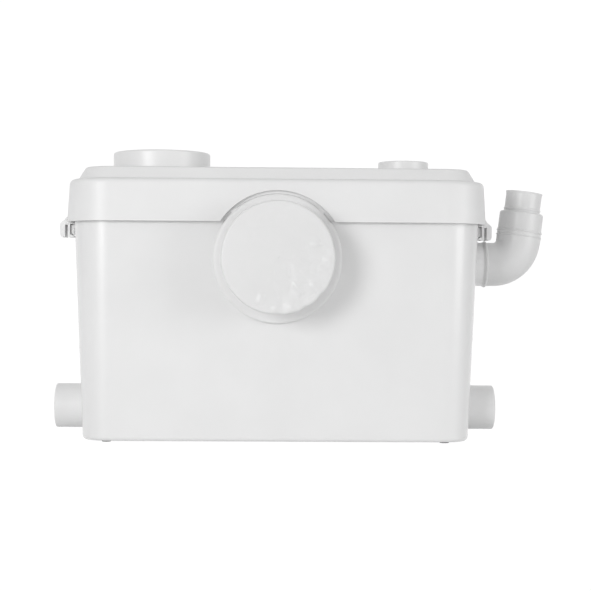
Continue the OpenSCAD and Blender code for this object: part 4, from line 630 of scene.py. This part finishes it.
def seam_bead(elbow_start):
    """A low round bead where the elbow's socket starts."""
    sides = [(0.4, -0.7), (0.85, -0.35), (1, 0), (0.85, 0.35), (0.4, 0.7)]
    profile = ([(ELBOW_R + BEAD_SEAT, -BEAD_HALF)]
               + [(ELBOW_R + BEAD_H * high, BEAD_HALF * along) for high, along in sides]
               + [(ELBOW_R + BEAD_SEAT, BEAD_HALF)])
    bead = turned("socket_bead", profile, (elbow_start, OUTLET_Y, OUTLET_Z), (1, 0, 0))
    soften(bead, 0)
    return bead


ELBOW_R, BEAD_HALF, BEAD_H, BEAD_SEAT = 0.022, 0.0018, 0.0006, 0.00005
pale_fitting = moulded_plastic("pale_fitting_plastic", (0.79, 0.79, 0.79), 0.34, wave_scale=20)
for node, name, body, skin, slot in (
    ("inlet_left", "left_inlet_stub", "housing", white_fitting, "white_fitting"),
    ("inlet_right", "right_inlet_stub", "housing", white_fitting, "white_fitting"),
    ("outlet_body", "outlet_valve_body", "housing", white_fitting, "white_fitting"),
    ("discharge_elbow", "discharge_bend", "outlet_elbow", pale_fitting, "pale_fitting"),
    ("reducer_sleeve", "reducer_steps", "outlet_elbow", pale_fitting, "pale_fitting"),
    ("latch_left", "left_clip", "clip_left", white_fitting, "white_fitting"),
    ("latch_right", "right_clip", "clip_right", white_fitting, "white_fitting"),
):
    fitting = moulded_copy(node, name, FITTING_EDGE)
    if name == "discharge_bend":
        bead = seam_bead(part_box(node)[0][0])
        bead.select_set(True)
        fitting.select_set(True)
        bpy.context.view_layer.objects.active = fitting
        bpy.ops.object.join()
    fitting.data.materials.append(skin)
    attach(fitting, body)
    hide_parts(node)


# Pieces that keep the frame's shape, such as feet, gland, seals, motor and pump: each gets the
# finish of its own stuff, rubber, nylon, casting, sheet, wire or pressed powder.
def dull_skin(name, colour, roughness, scale, depth, metallic=0.0):
    """A dull surface with a fine grain, for rubber, nylon, castings and pressed powder."""
    material = bpy.data.materials.new(name)
    material.use_nodes = True
    nodes, links = material.node_tree.nodes, material.node_tree.links
    surface = nodes["Principled BSDF"]
    surface.inputs["Metallic"].default_value = metallic
    place = nodes.new("ShaderNodeTexCoord")
    grain = nodes.new("ShaderNodeTexNoise")
    grain.inputs["Scale"].default_value = scale
    grain.inputs["Detail"].default_value = 5
    tint = nodes.new("ShaderNodeValToRGB")
    tint.color_ramp.elements[0].position = 0.35
    tint.color_ramp.elements[0].color = (*[c * 0.7 for c in colour], 1)
    tint.color_ramp.elements[1].position = 0.7
    tint.color_ramp.elements[1].color = (*colour, 1)
    gloss = nodes.new("ShaderNodeMapRange")
    gloss.inputs["To Min"].default_value = roughness * 0.85
    gloss.inputs["To Max"].default_value = min(1.0, roughness * 1.2)
    bump = nodes.new("ShaderNodeBump")
    bump.inputs["Distance"].default_value = depth
    links.new(place.outputs["Object"], grain.inputs["Vector"])
    links.new(grain.outputs["Fac"], tint.inputs["Fac"])
    links.new(tint.outputs["Color"], surface.inputs["Base Color"])
    links.new(grain.outputs["Fac"], gloss.inputs["Value"])
    links.new(gloss.outputs["Result"], surface.inputs["Roughness"])
    links.new(grain.outputs["Fac"], bump.inputs["Height"])
    links.new(bump.outputs["Normal"], surface.inputs["Normal"])
    return material


def drawn_metal(name, colour, roughness, stretch):
    """Bright metal with fine lines from drawing or turning, stretched along one axis."""
    material = dull_skin(name, colour, roughness, 260, 0.00001, metallic=1.0)
    nodes, links = material.node_tree.nodes, material.node_tree.links
    lines = nodes.new("ShaderNodeMapping")
    lines.inputs["Scale"].default_value = stretch
    place = next(n for n in nodes if n.type == "TEX_COORD")
    grain = next(n for n in nodes if n.type == "TEX_NOISE")
    links.new(place.outputs["Object"], lines.inputs["Vector"])
    links.new(lines.outputs["Vector"], grain.inputs["Vector"])
    return material


black_rubber = dull_skin("black_rubber", (0.02, 0.02, 0.021), 0.62, 700, 0.00004)
hose_rubber = dull_skin("hose_rubber", (0.035, 0.035, 0.038), 0.5, 500, 0.00004)
white_silicone = dull_skin("white_silicone", (0.8, 0.8, 0.79), 0.5, 600, 0.00002)
grey_nylon = dull_skin("grey_nylon", (0.12, 0.125, 0.13), 0.42, 800, 0.00002)
pale_plastic = moulded_plastic("pale_plastic", (0.72, 0.72, 0.7), 0.38, wave_scale=20)
black_plastic = moulded_plastic("black_plastic", (0.02, 0.02, 0.02), 0.25, wave_scale=30)
ivory_plastic = moulded_plastic("ivory_plastic", (0.7, 0.63, 0.47), 0.4, wave_scale=30)
charcoal = dull_skin("charcoal", (0.015, 0.015, 0.015), 0.9, 420, 0.0006)
stainless = drawn_metal("stainless", (0.62, 0.62, 0.6), 0.26, (6, 6, 0.6))
cast_alloy = dull_skin("cast_alloy", (0.55, 0.55, 0.56), 0.42, 380, 0.00012, metallic=1.0)
can_paint = moulded_plastic("can_paint", (0.02, 0.035, 0.06), 0.3, grain=0.00004, wave_scale=40)
lamination = drawn_metal("lamination", (0.24, 0.24, 0.25), 0.45, (0.4, 0.4, 12))
copper = drawn_metal("copper", (0.6, 0.24, 0.09), 0.3, (0.6, 0.6, 8))
drawn_can = drawn_metal("drawn_can", (0.66, 0.67, 0.68), 0.3, (6, 6, 0.4))

finishes = {
    "black_rubber": black_rubber, "hose_rubber": hose_rubber, "grey_plastic": grey_nylon,
    "pale_plastic": pale_plastic, "black_plastic": black_plastic, "ivory_plastic": ivory_plastic,
    "carbon": charcoal, "stainless": stainless, "cast_bell": cast_alloy, "painted_can": can_paint,
    "lamination": lamination, "copper": copper, "capacitor_can": drawn_can,
    "white_shell": white_tank, "white_fitting": white_fitting, "white_film": white_film,
    "pale_fitting": pale_fitting, "white_silicone": white_silicone,
}
for part in frame["record"]["subparts"]:
    shape = frame["nodes"][part["node"]]
    finish = finishes[part["material_slot"]]
    if not shape.material_slots:
        shape.data.materials.append(finish)
    for patch in shape.material_slots:
        patch.material = finish
